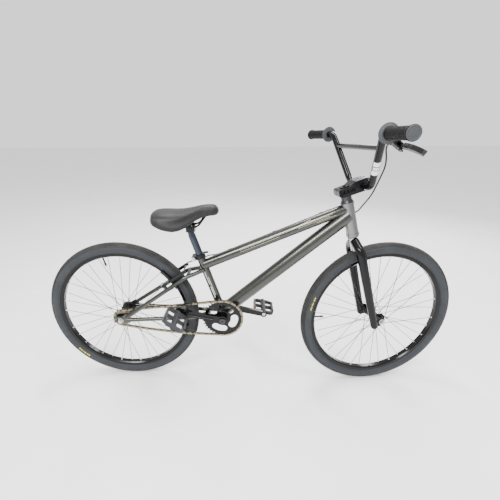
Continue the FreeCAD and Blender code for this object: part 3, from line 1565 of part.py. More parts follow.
def build():
    os.makedirs("parts", exist_ok=True)
    export("head_tube", head_tube())
    export("seat_tube", seat_tube())
    export("top_tube", top_tube())
    export("down_tube", down_tube())
    export("bottom_bracket_shell", bracket_shell())
    export("frame_bearings", headset_bearings() + bracket_bearings())
    export("chainstays", chainstays())
    export("seatstays", seatstays())
    export("rear_dropouts", [rear_dropout(side) for side in SIDES])
    export("frame_fittings", frame_fittings())
    export("rear_axle", rear_axle())
    export("chain_inner_links", chain_links(inner_link, 0))
    export("chain_outer_links", chain_links(outer_link, 1))
    export("chainring", chainring())
    export("freewheel_cog", freewheel_cog())
    export("crank_arm_right", crank_arm(-1))
    export("crank_arm_left", crank_arm(1))
    export("crank_spindle", crank_spindle())
    export("pedal_axles", [pedal_axle(side) for side in SIDES])
    export("pedal_right", pedal_body(-1, PEDAL_TILT))
    export("pedal_left", pedal_body(1, PEDAL_LEFT_TILT))
    export("rear_tyre", tyre(REAR_HUB))
    export("rear_inner_tube", inner_tube(REAR_HUB, REAR_VALVE))
    export("rear_rim", rim(REAR_HUB, REAR_VALVE))
    export("rear_spokes", spokes(REAR_HUB, REAR_FLANGES, REAR_HOLES, REAR_SPOKE_ANGLE))
    export("rear_hub", rear_hub())
    export("front_tyre", tyre(FRONT_HUB), turn=True)
    export("front_inner_tube", inner_tube(FRONT_HUB, FRONT_VALVE), turn=True)
    export("front_rim", rim(FRONT_HUB, FRONT_VALVE), turn=True)
    export("front_spokes", spokes(FRONT_HUB, FRONT_FLANGES, FRONT_HOLES, FRONT_SPOKE_ANGLE), turn=True)
    export("front_hub", hub_shell(FRONT_HUB, FRONT_FLANGES, 23.0, FRONT_HOLES, (-42.0, 42.0),
                                  FRONT_SPOKE_ANGLE), turn=True)
    export("fork_legs", fork_legs(), turn=True)
    export("fork_steerer", fork_steerer(), turn=True)
    export("headset_races", headset_races(), turn=True)
    export("front_axle", front_axle(), turn=True)
    stem, faceplate = stem_halves()
    bolts = stem_bolts()
    export("stem_body", stem.cut(bolts), turn=True)
    export("stem_faceplate", faceplate.cut(bolts), turn=True)
    export("stem_bolts", bolts, turn=True)
    export("handlebar", handlebar(), turn=True)
    export("grips", grips(), turn=True)
    export("lever_bracket", lever_bracket(), turn=True)
    export("brake_lever", lever_blade(), turn=True)
    noodle = brake_noodle()
    for side, name in zip(SIDES, ("left", "right")):
        arm = brake_arm(side)
        arm = arm.cut(noodle) if side > 0 else arm
        export("brake_arm_" + name, arm)
        export("brake_pad_" + name, brake_pad(side))
    export("brake_pivot_bolts", [brake_pivot_bolt(side) for side in SIDES])
    export("brake_noodle", noodle)
    export("brake_cable_link", brake_cable_link())
    export("cable_front_loop", cord(front_loop_route()))
    export("cable_top_run", cable_top_run())
    export("cable_rear_loop", cord(rear_loop_route()))
    export("seatpost", seatpost())
    export("saddle_clamp", saddle_clamp())
    export("saddle_rails", [rail(side) for side in SIDES])
    export("saddle_base", saddle_base())
    export("saddle_cushion", saddle_cushion())
    export("seat_clamp_collar", seat_clamp_collar())
    export("seat_clamp_bolt", seat_clamp_bolt())
    export("seat_clamp_lever", seat_clamp_lever())


build()
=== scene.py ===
import json
import math
import bmesh
import bpy
import numpy as np
from mathutils import Matrix, Vector


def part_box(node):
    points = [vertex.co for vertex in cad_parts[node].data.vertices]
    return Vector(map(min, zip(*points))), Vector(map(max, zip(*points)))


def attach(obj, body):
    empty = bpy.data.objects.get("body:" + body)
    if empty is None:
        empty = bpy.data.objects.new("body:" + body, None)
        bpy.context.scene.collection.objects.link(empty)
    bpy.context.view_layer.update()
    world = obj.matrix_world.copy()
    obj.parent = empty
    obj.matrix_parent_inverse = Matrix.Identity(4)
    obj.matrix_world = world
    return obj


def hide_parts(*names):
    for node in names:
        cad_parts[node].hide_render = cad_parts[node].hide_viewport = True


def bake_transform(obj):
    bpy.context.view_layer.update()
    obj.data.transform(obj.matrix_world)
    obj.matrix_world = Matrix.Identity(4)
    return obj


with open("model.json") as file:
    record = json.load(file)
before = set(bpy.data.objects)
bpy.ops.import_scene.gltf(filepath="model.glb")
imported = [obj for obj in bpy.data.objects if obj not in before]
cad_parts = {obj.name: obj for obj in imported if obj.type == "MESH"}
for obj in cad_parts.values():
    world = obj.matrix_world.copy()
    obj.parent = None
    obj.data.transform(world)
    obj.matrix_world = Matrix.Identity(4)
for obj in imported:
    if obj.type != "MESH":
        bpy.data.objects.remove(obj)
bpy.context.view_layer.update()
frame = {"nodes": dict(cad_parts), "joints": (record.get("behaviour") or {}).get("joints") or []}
joints = {joint["name"]: joint for joint in frame["joints"]}

# ------------------------------------------------------------------ places read from the frame


def joint_place(name):
    return Vector(joints[name]["pos_m"])


def joint_axis(name):
    return Vector(joints[name]["axis"]).normalized()


REAR_HUB = joint_place("rear_wheel_spin")
FRONT_HUB = joint_place("front_wheel_spin")
FRONT_AXIS = joint_axis("front_wheel_spin")
Y = Vector((0, 1, 0))
Z = Vector((0, 0, 1))
CORNERS = ((-1, -1), (1, -1), (1, 1), (-1, 1))

# ------------------------------------------------------------------ camera


CAMERA_PLACE = (-0.0323, -1.1279, 1.0020)
CAMERA_TURN = (-0.037, -0.432, -0.008)


def make_camera():
    """Looks down on the bicycle's right side, from a little to the rear of its middle."""
    yaw, pitch, roll = CAMERA_TURN
    ahead = Vector((math.sin(yaw) * math.cos(pitch), math.cos(yaw) * math.cos(pitch), math.sin(pitch)))
    level = Vector((math.cos(yaw), -math.sin(yaw), 0))
    above = level.cross(ahead)
    right = level * math.cos(roll) + above * math.sin(roll)
    up = above * math.cos(roll) - level * math.sin(roll)
    data = bpy.data.cameras.new("camera")
    data.sensor_width = 36
    data.lens = 23.54
    data.shift_x = 0.0398
    data.shift_y = 0.0446
    data.clip_start = 0.05
    data.clip_end = 60
    camera = bpy.data.objects.new("camera", data)
    turn = Matrix((right, up, -ahead)).transposed().to_4x4()
    camera.matrix_world = Matrix.Translation(CAMERA_PLACE) @ turn
    bpy.context.collection.objects.link(camera)
    bpy.context.scene.camera = camera


make_camera()

# ------------------------------------------------------------------ materials


class Nodes:
    """Short names for the nodes of one material."""

    def __init__(self, name):
        self.mat = bpy.data.materials.new(name)
        self.mat.use_nodes = True
        self.tree = self.mat.node_tree
        self.shader = self.tree.nodes["Principled BSDF"]
        self.coords = self.add("ShaderNodeTexCoord").outputs["Object"]

    def add(self, kind, **settings):
        node = self.tree.nodes.new(kind)
        for key, value in settings.items():
            setattr(node, key, value)
        return node

    def link(self, source, target):
        self.tree.links.new(source, target)

    def noise(self, scale, detail=4.0, rough=0.5, vector=None):
        node = self.add("ShaderNodeTexNoise")
        node.inputs["Scale"].default_value = scale
        node.inputs["Detail"].default_value = detail
        node.inputs["Roughness"].default_value = rough
        self.link(vector or self.coords, node.inputs["Vector"])
        return node.outputs["Fac"]

    def ramp(self, value, stops):
        node = self.add("ShaderNodeValToRGB")
        band = node.color_ramp
        while len(band.elements) < len(stops):
            band.elements.new(0.5)
        for element, (place, colour) in zip(band.elements, stops):
            element.position = place
            grey = isinstance(colour, (int, float))
            element.color = (colour, colour, colour, 1) if grey else (*colour, 1)
        self.link(value, node.inputs["Fac"])
        return node.outputs["Color"]

    def mix(self, factor, first, second):
        """Two colours mixed by a factor. A mix node keeps its colour sockets at 6, 7 and 2."""
        node = self.add("ShaderNodeMix", data_type="RGBA")
        for socket, value in zip((node.inputs[0], node.inputs[6], node.inputs[7]), (factor, first, second)):
            if isinstance(value, bpy.types.NodeSocket):
                self.link(value, socket)
            elif isinstance(value, (int, float)):
                socket.default_value = value
            else:
                socket.default_value = (*value, 1)
        return node.outputs[2]

    def math(self, operation, first, second=0.0):
        node = self.add("ShaderNodeMath", operation=operation)
        for socket, value in zip(node.inputs, (first, second)):
            if isinstance(value, bpy.types.NodeSocket):
                self.link(value, socket)
            else:
                socket.default_value = value
        return node.outputs[0]

    def distance_from(self, place):
        shift = self.add("ShaderNodeVectorMath", operation="DISTANCE")
        self.link(self.coords, shift.inputs[0])
        shift.inputs[1].default_value = place
        return shift.outputs["Value"]

    def along(self, axis, place=(0, 0, 0)):
        """The distance of a point past a place, along an axis."""
        shift = self.add("ShaderNodeVectorMath", operation="SUBTRACT")
        self.link(self.coords, shift.inputs[0])
        shift.inputs[1].default_value = place
        dot = self.add("ShaderNodeVectorMath", operation="DOT_PRODUCT")
        self.link(shift.outputs[0], dot.inputs[0])
        dot.inputs[1].default_value = axis
        return dot.outputs["Value"]

    def bump(self, height, strength, distance):
        node = self.add("ShaderNodeBump")
        node.inputs["Strength"].default_value = strength
        node.inputs["Distance"].default_value = distance
        self.link(height, node.inputs["Height"])
        self.link(node.outputs["Normal"], self.shader.inputs["Normal"])

    def set(self, **values):
        for key, value in values.items():
            socket = self.shader.inputs[key.replace("_", " ")]
            if isinstance(value, bpy.types.NodeSocket):
                self.link(value, socket)
            elif isinstance(value, (int, float)):
                socket.default_value = value
            else:
                socket.default_value = (*value, 1)


def paint(name, dark, light, metallic, roughness, coat=0.8, flake=1400.0, dust=0.35):
    """Lacquered paint: fine flakes, faint dust and uneven polish."""
    n = Nodes(name)
    flakes = n.ramp(n.noise(flake, 2.0), [(0.38, dark), (0.66, light)])
    dusty = n.ramp(n.noise(9.0, 7.0, 0.65), [(0.50, 0.0), (0.78, dust)])
    n.set(Base_Color=n.mix(dusty, flakes, (0.30, 0.29, 0.27)))
    n.set(Roughness=n.ramp(n.noise(30.0, 6.0, 0.7), [(0.3, roughness), (0.8, roughness + 0.13)]))
    n.set(Metallic=metallic, Coat_Weight=coat, Coat_Roughness=0.06)
    n.bump(n.noise(55.0, 2.0), 0.04, 0.001)
    return n


def metal(name, dark, light, roughness, scratch=700.0, metallic=1.0, grime=0.25):
    """Plated or machined metal with fine scratches and grime in patches."""
    n = Nodes(name)
    stretch = n.add("ShaderNodeMapping")
    stretch.inputs["Scale"].default_value = (1.0, 0.12, 1.0)
    n.link(n.coords, stretch.inputs["Vector"])
    lines = n.noise(scratch, 5.0, 0.7, stretch.outputs[0])
    colour = n.ramp(lines, [(0.3, dark), (0.7, light)])
    patches = n.ramp(n.noise(45.0, 8.0, 0.7), [(0.52, 0.0), (0.8, grime)])
    n.set(Base_Color=n.mix(patches, colour, (0.06, 0.05, 0.04)))
    n.set(Roughness=n.ramp(lines, [(0.3, roughness + 0.12), (0.7, roughness)]))
    n.set(Metallic=metallic)
    n.bump(lines, 0.08, 0.0004)
    return n


def rubber(name, dark, light, roughness, grain=900.0, depth=0.0006, dust=0.3):
    """Rubber or moulded plastic with a fine grain and pale dust."""
    n = Nodes(name)
    base = n.ramp(n.noise(grain, 4.0, 0.6), [(0.35, dark), (0.7, light)])
    dusty = n.ramp(n.noise(14.0, 8.0, 0.7), [(0.45, 0.0), (0.8, dust)])
    n.set(Base_Color=n.mix(dusty, base, (0.12, 0.118, 0.112)))
    n.set(Roughness=n.ramp(n.noise(120.0, 4.0), [(0.3, roughness), (0.75, roughness + 0.15)]))
    n.bump(n.noise(grain, 3.0), 0.25, depth)
    n.set(Specular_IOR_Level=0.3)
    return n


def gunmetal(name):
    """The frame's dark metallic paint."""
    return paint(name, (0.028, 0.030, 0.027), (0.070, 0.071, 0.063), 0.85, 0.19, 0.35, dust=0.05)


def gloss_black(name):
    """Smooth black paint with little dust."""
    n = paint(name, (0.0012, 0.0012, 0.0014), (0.003, 0.003, 0.0034), 0.0, 0.1, 0.0, dust=0.006)
    n.set(Specular_IOR_Level=0.22)
    return n


FRAME_PAINT = gunmetal("frame_paint")
TOP_TUBE_PAINT = gunmetal("top_tube_paint")
SEAT_TUBE_PAINT = gunmetal("seat_tube_paint")
BAR_PAINT = gloss_black("bar_paint")
HEAD_PAINT = paint("head_paint", (0.11, 0.115, 0.115), (0.21, 0.212, 0.208), 0.9, 0.16, 0.5, dust=0.1)
BLACK_PAINT = gloss_black("black_paint")
BLACK_ALLOY = metal(
    "black_alloy", (0.003, 0.003, 0.0035), (0.012, 0.012, 0.014), 0.26, metallic=0.3, grime=0.05
)
BRIGHT_STEEL = metal("bright_steel", (0.38, 0.38, 0.37), (0.68, 0.68, 0.66), 0.2)
DARK_STEEL = metal("dark_steel", (0.02, 0.02, 0.022), (0.09, 0.09, 0.095), 0.26)
CHAIN_STEEL = metal("chain_steel", (0.09, 0.073, 0.047), (0.36, 0.31, 0.215), 0.3, grime=0.5)
CHAIN_SHADE = metal("chain_shade", (0.03, 0.025, 0.017), (0.13, 0.11, 0.078), 0.34, grime=0.6)
POST_STEEL = metal("post_steel", (0.018, 0.022, 0.032), (0.075, 0.085, 0.105), 0.2, grime=0.2)
BLACK_ALLOY.set(Specular_IOR_Level=0.3)
GRIP_RUBBER = rubber("grip_rubber", (0.0018, 0.0018, 0.002), (0.005, 0.005, 0.0055), 0.6, dust=0.02)
GRIP_RUBBER.set(Specular_IOR_Level=0.15)
GRIP_GREY = rubber("grip_grey", (0.028, 0.030, 0.033), (0.060, 0.063, 0.068), 0.5, dust=0.1)
CABLE_SLEEVE = rubber(
    "cable_sleeve", (0.006, 0.006, 0.0065), (0.014, 0.014, 0.014), 0.35, depth=0.0002, dust=0.05
)
BLACK_PLASTIC = rubber("black_plastic", (0.003, 0.003, 0.0033), (0.009, 0.009, 0.009), 0.4, dust=0.04)
GREY_PLASTIC = rubber("grey_plastic", (0.012, 0.013, 0.0155), (0.028, 0.030, 0.034), 0.42, dust=0.1)
SADDLE_SKIN = rubber(
    "saddle_skin", (0.0055, 0.0055, 0.0062), (0.013, 0.013, 0.0142), 0.4, 1500.0, 0.0003, dust=0.05
)
TUBE_RUBBER = rubber("tube_rubber", (0.010, 0.010, 0.010), (0.02, 0.02, 0.02), 0.6)
AMBER = rubber("amber_reflector", (0.42, 0.07, 0.01), (0.75, 0.17, 0.02), 0.18, 500.0, 0.0004, dust=0.1)
YELLOW_MARK = rubber("yellow_mark", (0.72, 0.60, 0.03), (0.90, 0.78, 0.06), 0.5, 700.0, 0.0002, dust=0.15)

EDGE_SOFTNESS = 0.00008


def band(n, value, low, high):
    """One where a value lies between two limits, with slightly soft edges."""
    span = n.add("ShaderNodeMapRange", clamp=True)
    middle = (low + high) / 2
    half = (high - low) / 2
    off = n.math("ABSOLUTE", n.math("SUBTRACT", value, middle))
    n.link(off, span.inputs["Value"])
    span.inputs["From Min"].default_value = half + EDGE_SOFTNESS
    span.inputs["From Max"].default_value = half - EDGE_SOFTNESS
    return span.outputs["Result"]


def striped(n, place, along, across, colour, stripes):
    """Lines of another colour on a tube's paint n, each (start, end, low, high, slant)."""
    u = n.along(along, place)
    v = n.along(across, place)
    total = None
    for start, end, low, high, slant in stripes:
        level = n.math("SUBTRACT", v, n.math("MULTIPLY", u, slant)) if slant else v
        mask = n.math("MULTIPLY", band(n, u, start, end), band(n, level, low, high))
        total = mask if total is None else n.math("MAXIMUM", total, mask)
    socket = n.shader.inputs["Base Color"]
    before = socket.links[0].from_socket
    n.set(Base_Color=n.mix(total, before, colour))
    metallic = n.shader.inputs["Metallic"].default_value
    n.set(Metallic=n.math("MULTIPLY", n.math("SUBTRACT", 1.0, total), metallic))


def dress(material, *names):
    """Gives the CAD meshes of these nodes a material."""
    for name in names:
        node = frame["nodes"][name]
        if not node.material_slots:
            node.data.materials.append(material.mat)
        for k in range(len(node.material_slots)):
            node.material_slots[k].link = "OBJECT"
            node.material_slots[k].material = material.mat


dress(TOP_TUBE_PAINT, "top_tube")
dress(SEAT_TUBE_PAINT, "seat_tube")
dress(BAR_PAINT, "handlebar")
dress(FRAME_PAINT, "down_tube", "bottom_bracket_shell", "chainstays", "seatstays",
      "rear_dropouts", "frame_fittings")
dress(HEAD_PAINT, "head_tube")
dress(BLACK_PAINT, "fork_legs", "chainring", "crank_arm_right", "crank_arm_left", "front_rim",
      "rear_rim")
dress(BLACK_ALLOY, "stem_body", "stem_faceplate", "saddle_clamp", "seat_clamp_collar",
      "front_hub", "rear_hub", "lever_bracket", "brake_lever", "brake_arm_left", "brake_arm_right",
      "stem_bolts", "seat_clamp_lever", "saddle_rails")
dress(DARK_STEEL, "crank_spindle", "brake_noodle", "headset_races", "brake_cable_link")
dress(BRIGHT_STEEL, "frame_bearings", "rear_axle", "front_axle", "brake_pivot_bolts",
      "seat_clamp_bolt", "pedal_axles", "fork_steerer")
dress(CHAIN_STEEL, "chain_outer_links", "freewheel_cog")
dress(CHAIN_SHADE, "chain_inner_links")
dress(POST_STEEL, "seatpost")
dress(GRIP_RUBBER, "grips")
dress(CABLE_SLEEVE, "cable_front_loop", "cable_top_run", "cable_rear_loop")
dress(BLACK_PLASTIC, "pedal_left", "saddle_base")
dress(GREY_PLASTIC, "pedal_right")
dress(TUBE_RUBBER, "front_inner_tube", "rear_inner_tube", "brake_pad_left", "brake_pad_right")


NIPPLE_RADIUS = 0.2345


def spoke_material(name, hub):
    """Dark steel spokes with bright nipples at the rim."""
    n = Nodes(name)
    outer = n.math("GREATER_THAN", n.distance_from(hub), NIPPLE_RADIUS)
    speckle = n.ramp(n.noise(260.0, 3.0), [(0.3, (0.006, 0.006, 0.0065)), (0.75, (0.035, 0.035, 0.037))])
    n.set(Base_Color=n.mix(outer, speckle, (0.78, 0.78, 0.76)))
    n.set(Roughness=n.ramp(n.noise(300.0, 3.0), [(0.3, 0.22), (0.8, 0.4)]), Metallic=1.0)
    return n


dress(spoke_material("front_spoke_steel", FRONT_HUB), "front_spokes")
dress(spoke_material("rear_spoke_steel", REAR_HUB), "rear_spokes")

TOP_TUBE_ALONG = Vector((0.9193, 0, 0.3936)).normalized()
TOP_TUBE_UP = Vector((-TOP_TUBE_ALONG.z, 0, TOP_TUBE_ALONG.x))
SEAT_UP = joint_axis("seatpost_slide")
SEAT_UP = SEAT_UP if SEAT_UP.z > 0 else -SEAT_UP
SEAT_AHEAD = Vector((SEAT_UP.z, 0, -SEAT_UP.x))
top_low, top_high = [Vector(corner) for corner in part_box("top_tube")]
seat_low, seat_high = [Vector(corner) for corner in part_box("seat_tube")]
TOP_TUBE_MIDDLE = (top_low + top_high) / 2
SEAT_MIDDLE = (seat_low + seat_high) / 2
CREAM = (0.62, 0.58, 0.42)
PALE = (0.66, 0.66, 0.67)
striped(TOP_TUBE_PAINT, TOP_TUBE_MIDDLE, TOP_TUBE_ALONG, TOP_TUBE_UP, CREAM, (
    (-0.200, 0.235, 0.0083, 0.0091, 0),
    (-0.120, 0.225, 0.0052, 0.0058, 0),
    (0.085, 0.150, -0.0020, -0.0012, 0.10),
    (0.100, 0.215, 0.0012, 0.0019, 0),
    (0.150, 0.205, -0.0275, -0.0266, -0.16),
    (0.165, 0.235, -0.0035, -0.0028, 0),
    (-0.120, 0.030, -0.0012, -0.0006, 0),
))
striped(SEAT_TUBE_PAINT, SEAT_MIDDLE, SEAT_UP, SEAT_AHEAD, PALE, (
    (-0.060, -0.010, -0.0045, -0.0015, 0),
    (-0.050, 0.030, 0.0010, 0.0024, 0),
    (0.000, 0.055, -0.0052, -0.0030, 0),
))

RISER_ALONG = Vector((-0.147, -0.525, 0.838)).normalized()
RISER_FACING = Vector((-0.25, -1, 0))
RISER_OUT = (RISER_FACING - RISER_ALONG * RISER_ALONG.dot(RISER_FACING)).normalized()
RISER_MIDDLE = (0.3635, -0.1049, 0.8680)
striped(BAR_PAINT, RISER_MIDDLE, RISER_ALONG, RISER_OUT, (0.78, 0.78, 0.78), (
    (-0.012, 0.004, 0.0050, 0.0120, 0),
    (0.007, 0.016, 0.0070, 0.0120, 0),
    (0.019, 0.034, 0.0058, 0.0120, 0),
))

# ------------------------------------------------------------------ mesh helpers


def add_object(name, mesh, material=None, smooth=True):
    """Puts a mesh in the scene as a piece."""
    obj = bpy.data.objects.new(name, mesh)
    bpy.context.collection.objects.link(obj)
    if material is not None:
        mesh.materials.append(material.mat)
    if smooth:
        mesh.shade_smooth()
    return obj


def mesh_from(name, points, faces):
    """A mesh from its corner points and its faces, each a run of point numbers."""
    mesh = bpy.data.meshes.new(name)
    mesh.from_pydata([tuple(p) for p in points], [], faces)
    mesh.update()
    return mesh


def face_outward(mesh):
    """Turns every face of a closed mesh to look outward."""
    fix = bmesh.new()
    fix.from_mesh(mesh)
    bmesh.ops.recalc_face_normals(fix, faces=fix.faces)
    fix.to_mesh(mesh)
    fix.free()


# ------------------------------------------------------------------ tyres


TREAD_FROM = 0.2905
WALL_TO = 0.2885


def tyre_material(name, hub):
    """Black tread, and a paler grey sidewall with a dusty bloom."""
    n = Nodes(name)
    grain = n.noise(600.0, 5.0, 0.65)
    tread = n.ramp(grain, [(0.3, (0.002, 0.002, 0.002)), (0.7, (0.006, 0.006, 0.006))])
    wall = n.ramp(grain, [(0.3, (0.013, 0.015, 0.0175)), (0.7, (0.027, 0.030, 0.035))])
    edge = n.add("ShaderNodeMapRange")
    n.link(n.distance_from(hub), edge.inputs["Value"])
    edge.inputs["From Min"].default_value = TREAD_FROM
    edge.inputs["From Max"].default_value = WALL_TO
    colour = n.mix(edge.outputs["Result"], tread, wall)
    dusty = n.ramp(n.noise(11.0, 8.0, 0.7), [(0.45, 0.0), (0.8, 0.18)])
    n.set(Base_Color=n.mix(dusty, colour, (0.10, 0.10, 0.095)), Specular_IOR_Level=0.3)
    n.set(Roughness=n.ramp(grain, [(0.3, 0.5), (0.7, 0.7)]))
    n.bump(grain, 0.3, 0.0006)
    return n


BLOCK_RUBBER = rubber(
    "tread_blocks", (0.014, 0.0138, 0.013), (0.040, 0.039, 0.036), 0.62, 700.0, 0.0004, dust=0.35
)

# The tyre's section is a circle of radius SECTION with its centre SECTION_CENTRE from the axle.
# These angles are in degrees from the middle of the tread. Heights are from the full circle, and
# the bead's three places are distances from the axle and from the wheel's centre plane.
SECTION = 0.0225
SECTION_CENTRE = 0.2775
TREAD_EDGE = 60
WALL_START = 66
WALL_RIBS = (70, 88, 108, 126, 140)
SKIN_STEPS = 93
STEP_ANGLE = 1.5
BEAD = (0.2532, 0.0106)
BEAD_SHOULDER = (0.2599, 0.0119)
BEAD_INSIDE = (0.2532, 0.0078)
LINING_HEIGHT = -0.0036
TREAD_ROWS = (0, 13, -13, 26, -26, 39, -39, 52, -52)
BLOCKS_PER_ROW = 216
BLOCK_HALF_ANGLE = 5.3
BLOCK_HALF_LENGTH = 0.36
BLOCK_SKEW = 0.22
BLOCK_LAYERS = ((-0.0028, 1.12), (-0.0006, 1.0), (-0.0001, 0.82))


def wheel_frame(hub, axle):
    """A function that gives a place from its radius, its distance along the axle and its turn."""
    up = (Z - axle * axle.dot(Z)).normalized()
    ahead = axle.cross(up).normalized()
    ahead = ahead if ahead.x > 0 else -ahead

    def place(radius, side, turn):
        spoke = up * math.cos(turn) + ahead * math.sin(turn)
        return hub + spoke * radius + axle * side

    return place


def section_point(angle, height=0.0):
    """(radius from the axle, distance from the centre plane) on the tyre's skin."""
    reach = SECTION + height
    return SECTION_CENTRE + reach * math.cos(angle), reach * math.sin(angle)


def carcass_height(angle):
    """How far the skin stands off the full section: low under the tread, ribbed on the walls."""
    degrees = abs(math.degrees(angle))
    if degrees < TREAD_EDGE:
        return -0.0021
    ribs = sum(math.exp(-(((degrees - place) / 1.3) ** 2)) for place in WALL_RIBS)
    step = 0.0015 * (WALL_START - degrees) / (WALL_START - TREAD_EDGE) if degrees < WALL_START else 0
    return -0.0006 + 0.0005 * min(ribs, 1.0) - step


def mirrored(point):
    """The same place on the other side of the centre plane."""
    radius, side = point
    return radius, -side


def carcass_profile():
    """The tyre's closed section: up one wall, over the tread, down the other and back inside."""
    profile = [mirrored(BEAD), mirrored(BEAD_SHOULDER)]
    for step in range(-SKIN_STEPS, SKIN_STEPS + 1):
        angle = math.radians(step * STEP_ANGLE)
        profile.append(section_point(angle, carcass_height(angle)))
    profile += [BEAD_SHOULDER, BEAD, BEAD_INSIDE]
    for degrees in range(140, -150, -10):
        profile.append(section_point(math.radians(degrees), LINING_HEIGHT))
    profile.append(mirrored(BEAD_INSIDE))
    return profile


def add_tread(points, faces, place):
    """Rows of low blocks round the tread, with every second row set half a pitch on."""
    pitch = 2 * math.pi / BLOCKS_PER_ROW
    for degrees in TREAD_ROWS:
        side = 1 if degrees > 0 else -1
        skew = 0.0 if degrees == 0 else BLOCK_SKEW * side
        for k in range(BLOCKS_PER_ROW):
            middle = (k + (0.5 if abs(degrees) % 26 else 0.0)) * pitch
            first = len(points)
            for height, grow in BLOCK_LAYERS:
                for across, along in CORNERS:
                    angle = math.radians(degrees + across * BLOCK_HALF_ANGLE * grow)
                    turn = middle + pitch * (along * BLOCK_HALF_LENGTH * grow + across * skew)
                    points.append(place(*section_point(angle, height), turn))
            for layer in (0, 4):
                for j in range(4):
                    low = first + layer + j
                    next_low = first + layer + (j + 1) % 4
                    faces.append((low, next_low, next_low + 4, low + 4))
            faces.append(tuple(first + 8 + j for j in range(4)))
            faces.append(tuple(first + 3 - j for j in range(4)))


def build_tyre(name, node, body, hub, axle):
    """A tyre turned round its axle, with its tread blocks in a second material."""
    place = wheel_frame(hub, axle)
    profile = carcass_profile()
    turns = BLOCKS_PER_ROW
    points = [place(r, side, 2 * math.pi * k / turns) for k in range(turns) for r, side in profile]
    count = len(profile)
    faces = []
    for k in range(turns):
        near = k * count
        far = (k + 1) % turns * count
        for j in range(count):
            after = (j + 1) % count
            faces.append((near + j, near + after, far + after, far + j))
    carcass_faces = len(faces)
    add_tread(points, faces, place)
    mesh = mesh_from(name, points, faces)
    for face in mesh.polygons[carcass_faces:]:
        face.material_index = 1
    face_outward(mesh)
    tyre = add_object(name, mesh, tyre_material(name + "_rubber", hub))
    mesh.materials.append(BLOCK_RUBBER.mat)
    mesh.set_sharp_from_angle(angle=math.radians(32))
    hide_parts(node)
    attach(tyre, body)


MARK_LENGTHS = (0.006, 0.004, 0.006, 0.003, 0.006, 0.005)
MARK_PITCH = 0.0095
MARK_RADIUS = 0.27
MARK_ANGLES = (-93, -98, -104)
MARK_HEIGHTS = (-0.0009, 0.00005)


def build_marks(name, body, hub, axle, middle):
    """A row of short raised dashes on the right sidewall, about a turn of middle degrees."""
    place = wheel_frame(hub, axle)
    points, faces = [], []
    steps = 4
    row = len(MARK_ANGLES)
    layer_size = row * (steps + 1)
    for k, length in enumerate(MARK_LENGTHS):
        start = math.radians(middle) + (k - 3) * MARK_PITCH / MARK_RADIUS
        first = len(points)
        for height in MARK_HEIGHTS:
            for j in range(steps + 1):
                turn = start + j * length / MARK_RADIUS / steps
                for degrees in MARK_ANGLES:
                    points.append(place(*section_point(math.radians(degrees), height), turn))
        for j in range(steps):
            for i in range(row - 1):
                a = first + j * row + i
                b = a + layer_size
                faces.append((b, b + 1, b + 1 + row, b + row))
                faces.append((a, a + row, a + 1 + row, a + 1))
        rim = [j * row for j in range(steps + 1)] + [steps * row + 1]
        rim += [j * row + 2 for j in range(steps, -1, -1)] + [1]
        for i, j in zip(rim, rim[1:] + rim[:1]):
            faces.append((first + i, first + j, first + j + layer_size, first + i + layer_size))
    mesh = mesh_from(name, points, faces)
    face_outward(mesh)
    marks = add_object(name, mesh, YELLOW_MARK, False)
    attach(marks, body)


build_tyre("rear_tyre_tread", "rear_tyre", "rear_wheel", REAR_HUB, Y)
build_tyre("front_tyre_tread", "front_tyre", "front_wheel", FRONT_HUB, FRONT_AXIS)
build_marks("rear_tyre_marks", "rear_wheel", REAR_HUB, Y, -133.0)
build_marks("front_tyre_marks", "front_wheel", FRONT_HUB, FRONT_AXIS, -74.0)

# ------------------------------------------------------------------ saddle

SADDLE_LOW = Vector(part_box("saddle_cushion")[0])

# Distance from the tail, half width, top and skirt heights above the lowest point, and how
# far the side is drawn in between the skirt and the crown.
SADDLE_SECTIONS = (
    (0.0, 0.020, 0.0440, 0.0330, 0.0),
    (0.003, 0.038, 0.0505, 0.0265, 0.0),
    (0.010, 0.055, 0.0560, 0.0210, 0.0),
    (0.027, 0.068, 0.0600, 0.0135, 0.02),
    (0.056, 0.0755, 0.0610, 0.0045, 0.05),
    (0.088, 0.0750, 0.0608, 0.0010, 0.09),
    (0.113, 0.0690, 0.0628, 0.0060, 0.12),
    (0.136, 0.0570, 0.0668, 0.0170, 0.13),
    (0.156, 0.0440, 0.0718, 0.0290, 0.11),
    (0.181, 0.0315, 0.0778, 0.0395, 0.07),
    (0.206, 0.0262, 0.0805, 0.0450, 0.03),
    (0.226, 0.0215, 0.0785, 0.0470, 0.0),
    (0.234, 0.0150, 0.0740, 0.0490, 0.0),
    (0.2388, 0.0060, 0.0650, 0.0540, 0.0),
)


def smooth_rows(rows, count):
    """Rows of numbers filled in smoothly along their first column."""
    table = np.array(rows)
    place = table[:, 0]
    slope = np.gradient(table, place, axis=0)
    half_turns = np.linspace(0, 1, count) * math.pi
    wanted = (place[0] + place[-1]) / 2 - (place[-1] - place[0]) / 2 * np.cos(half_turns)
    out = []
    for x in wanted:
        k = min(max(int(np.searchsorted(place, x)) - 1, 0), len(place) - 2)
        gap = place[k + 1] - place[k]
        t = (x - place[k]) / gap
        out.append(
            table[k] * (2 * t**3 - 3 * t**2 + 1) + slope[k] * gap * (t**3 - 2 * t**2 + t)
            + table[k + 1] * (3 * t**2 - 2 * t**3) + slope[k + 1] * gap * (t**3 - t**2)
        )
        out[-1][0] = x
    return out


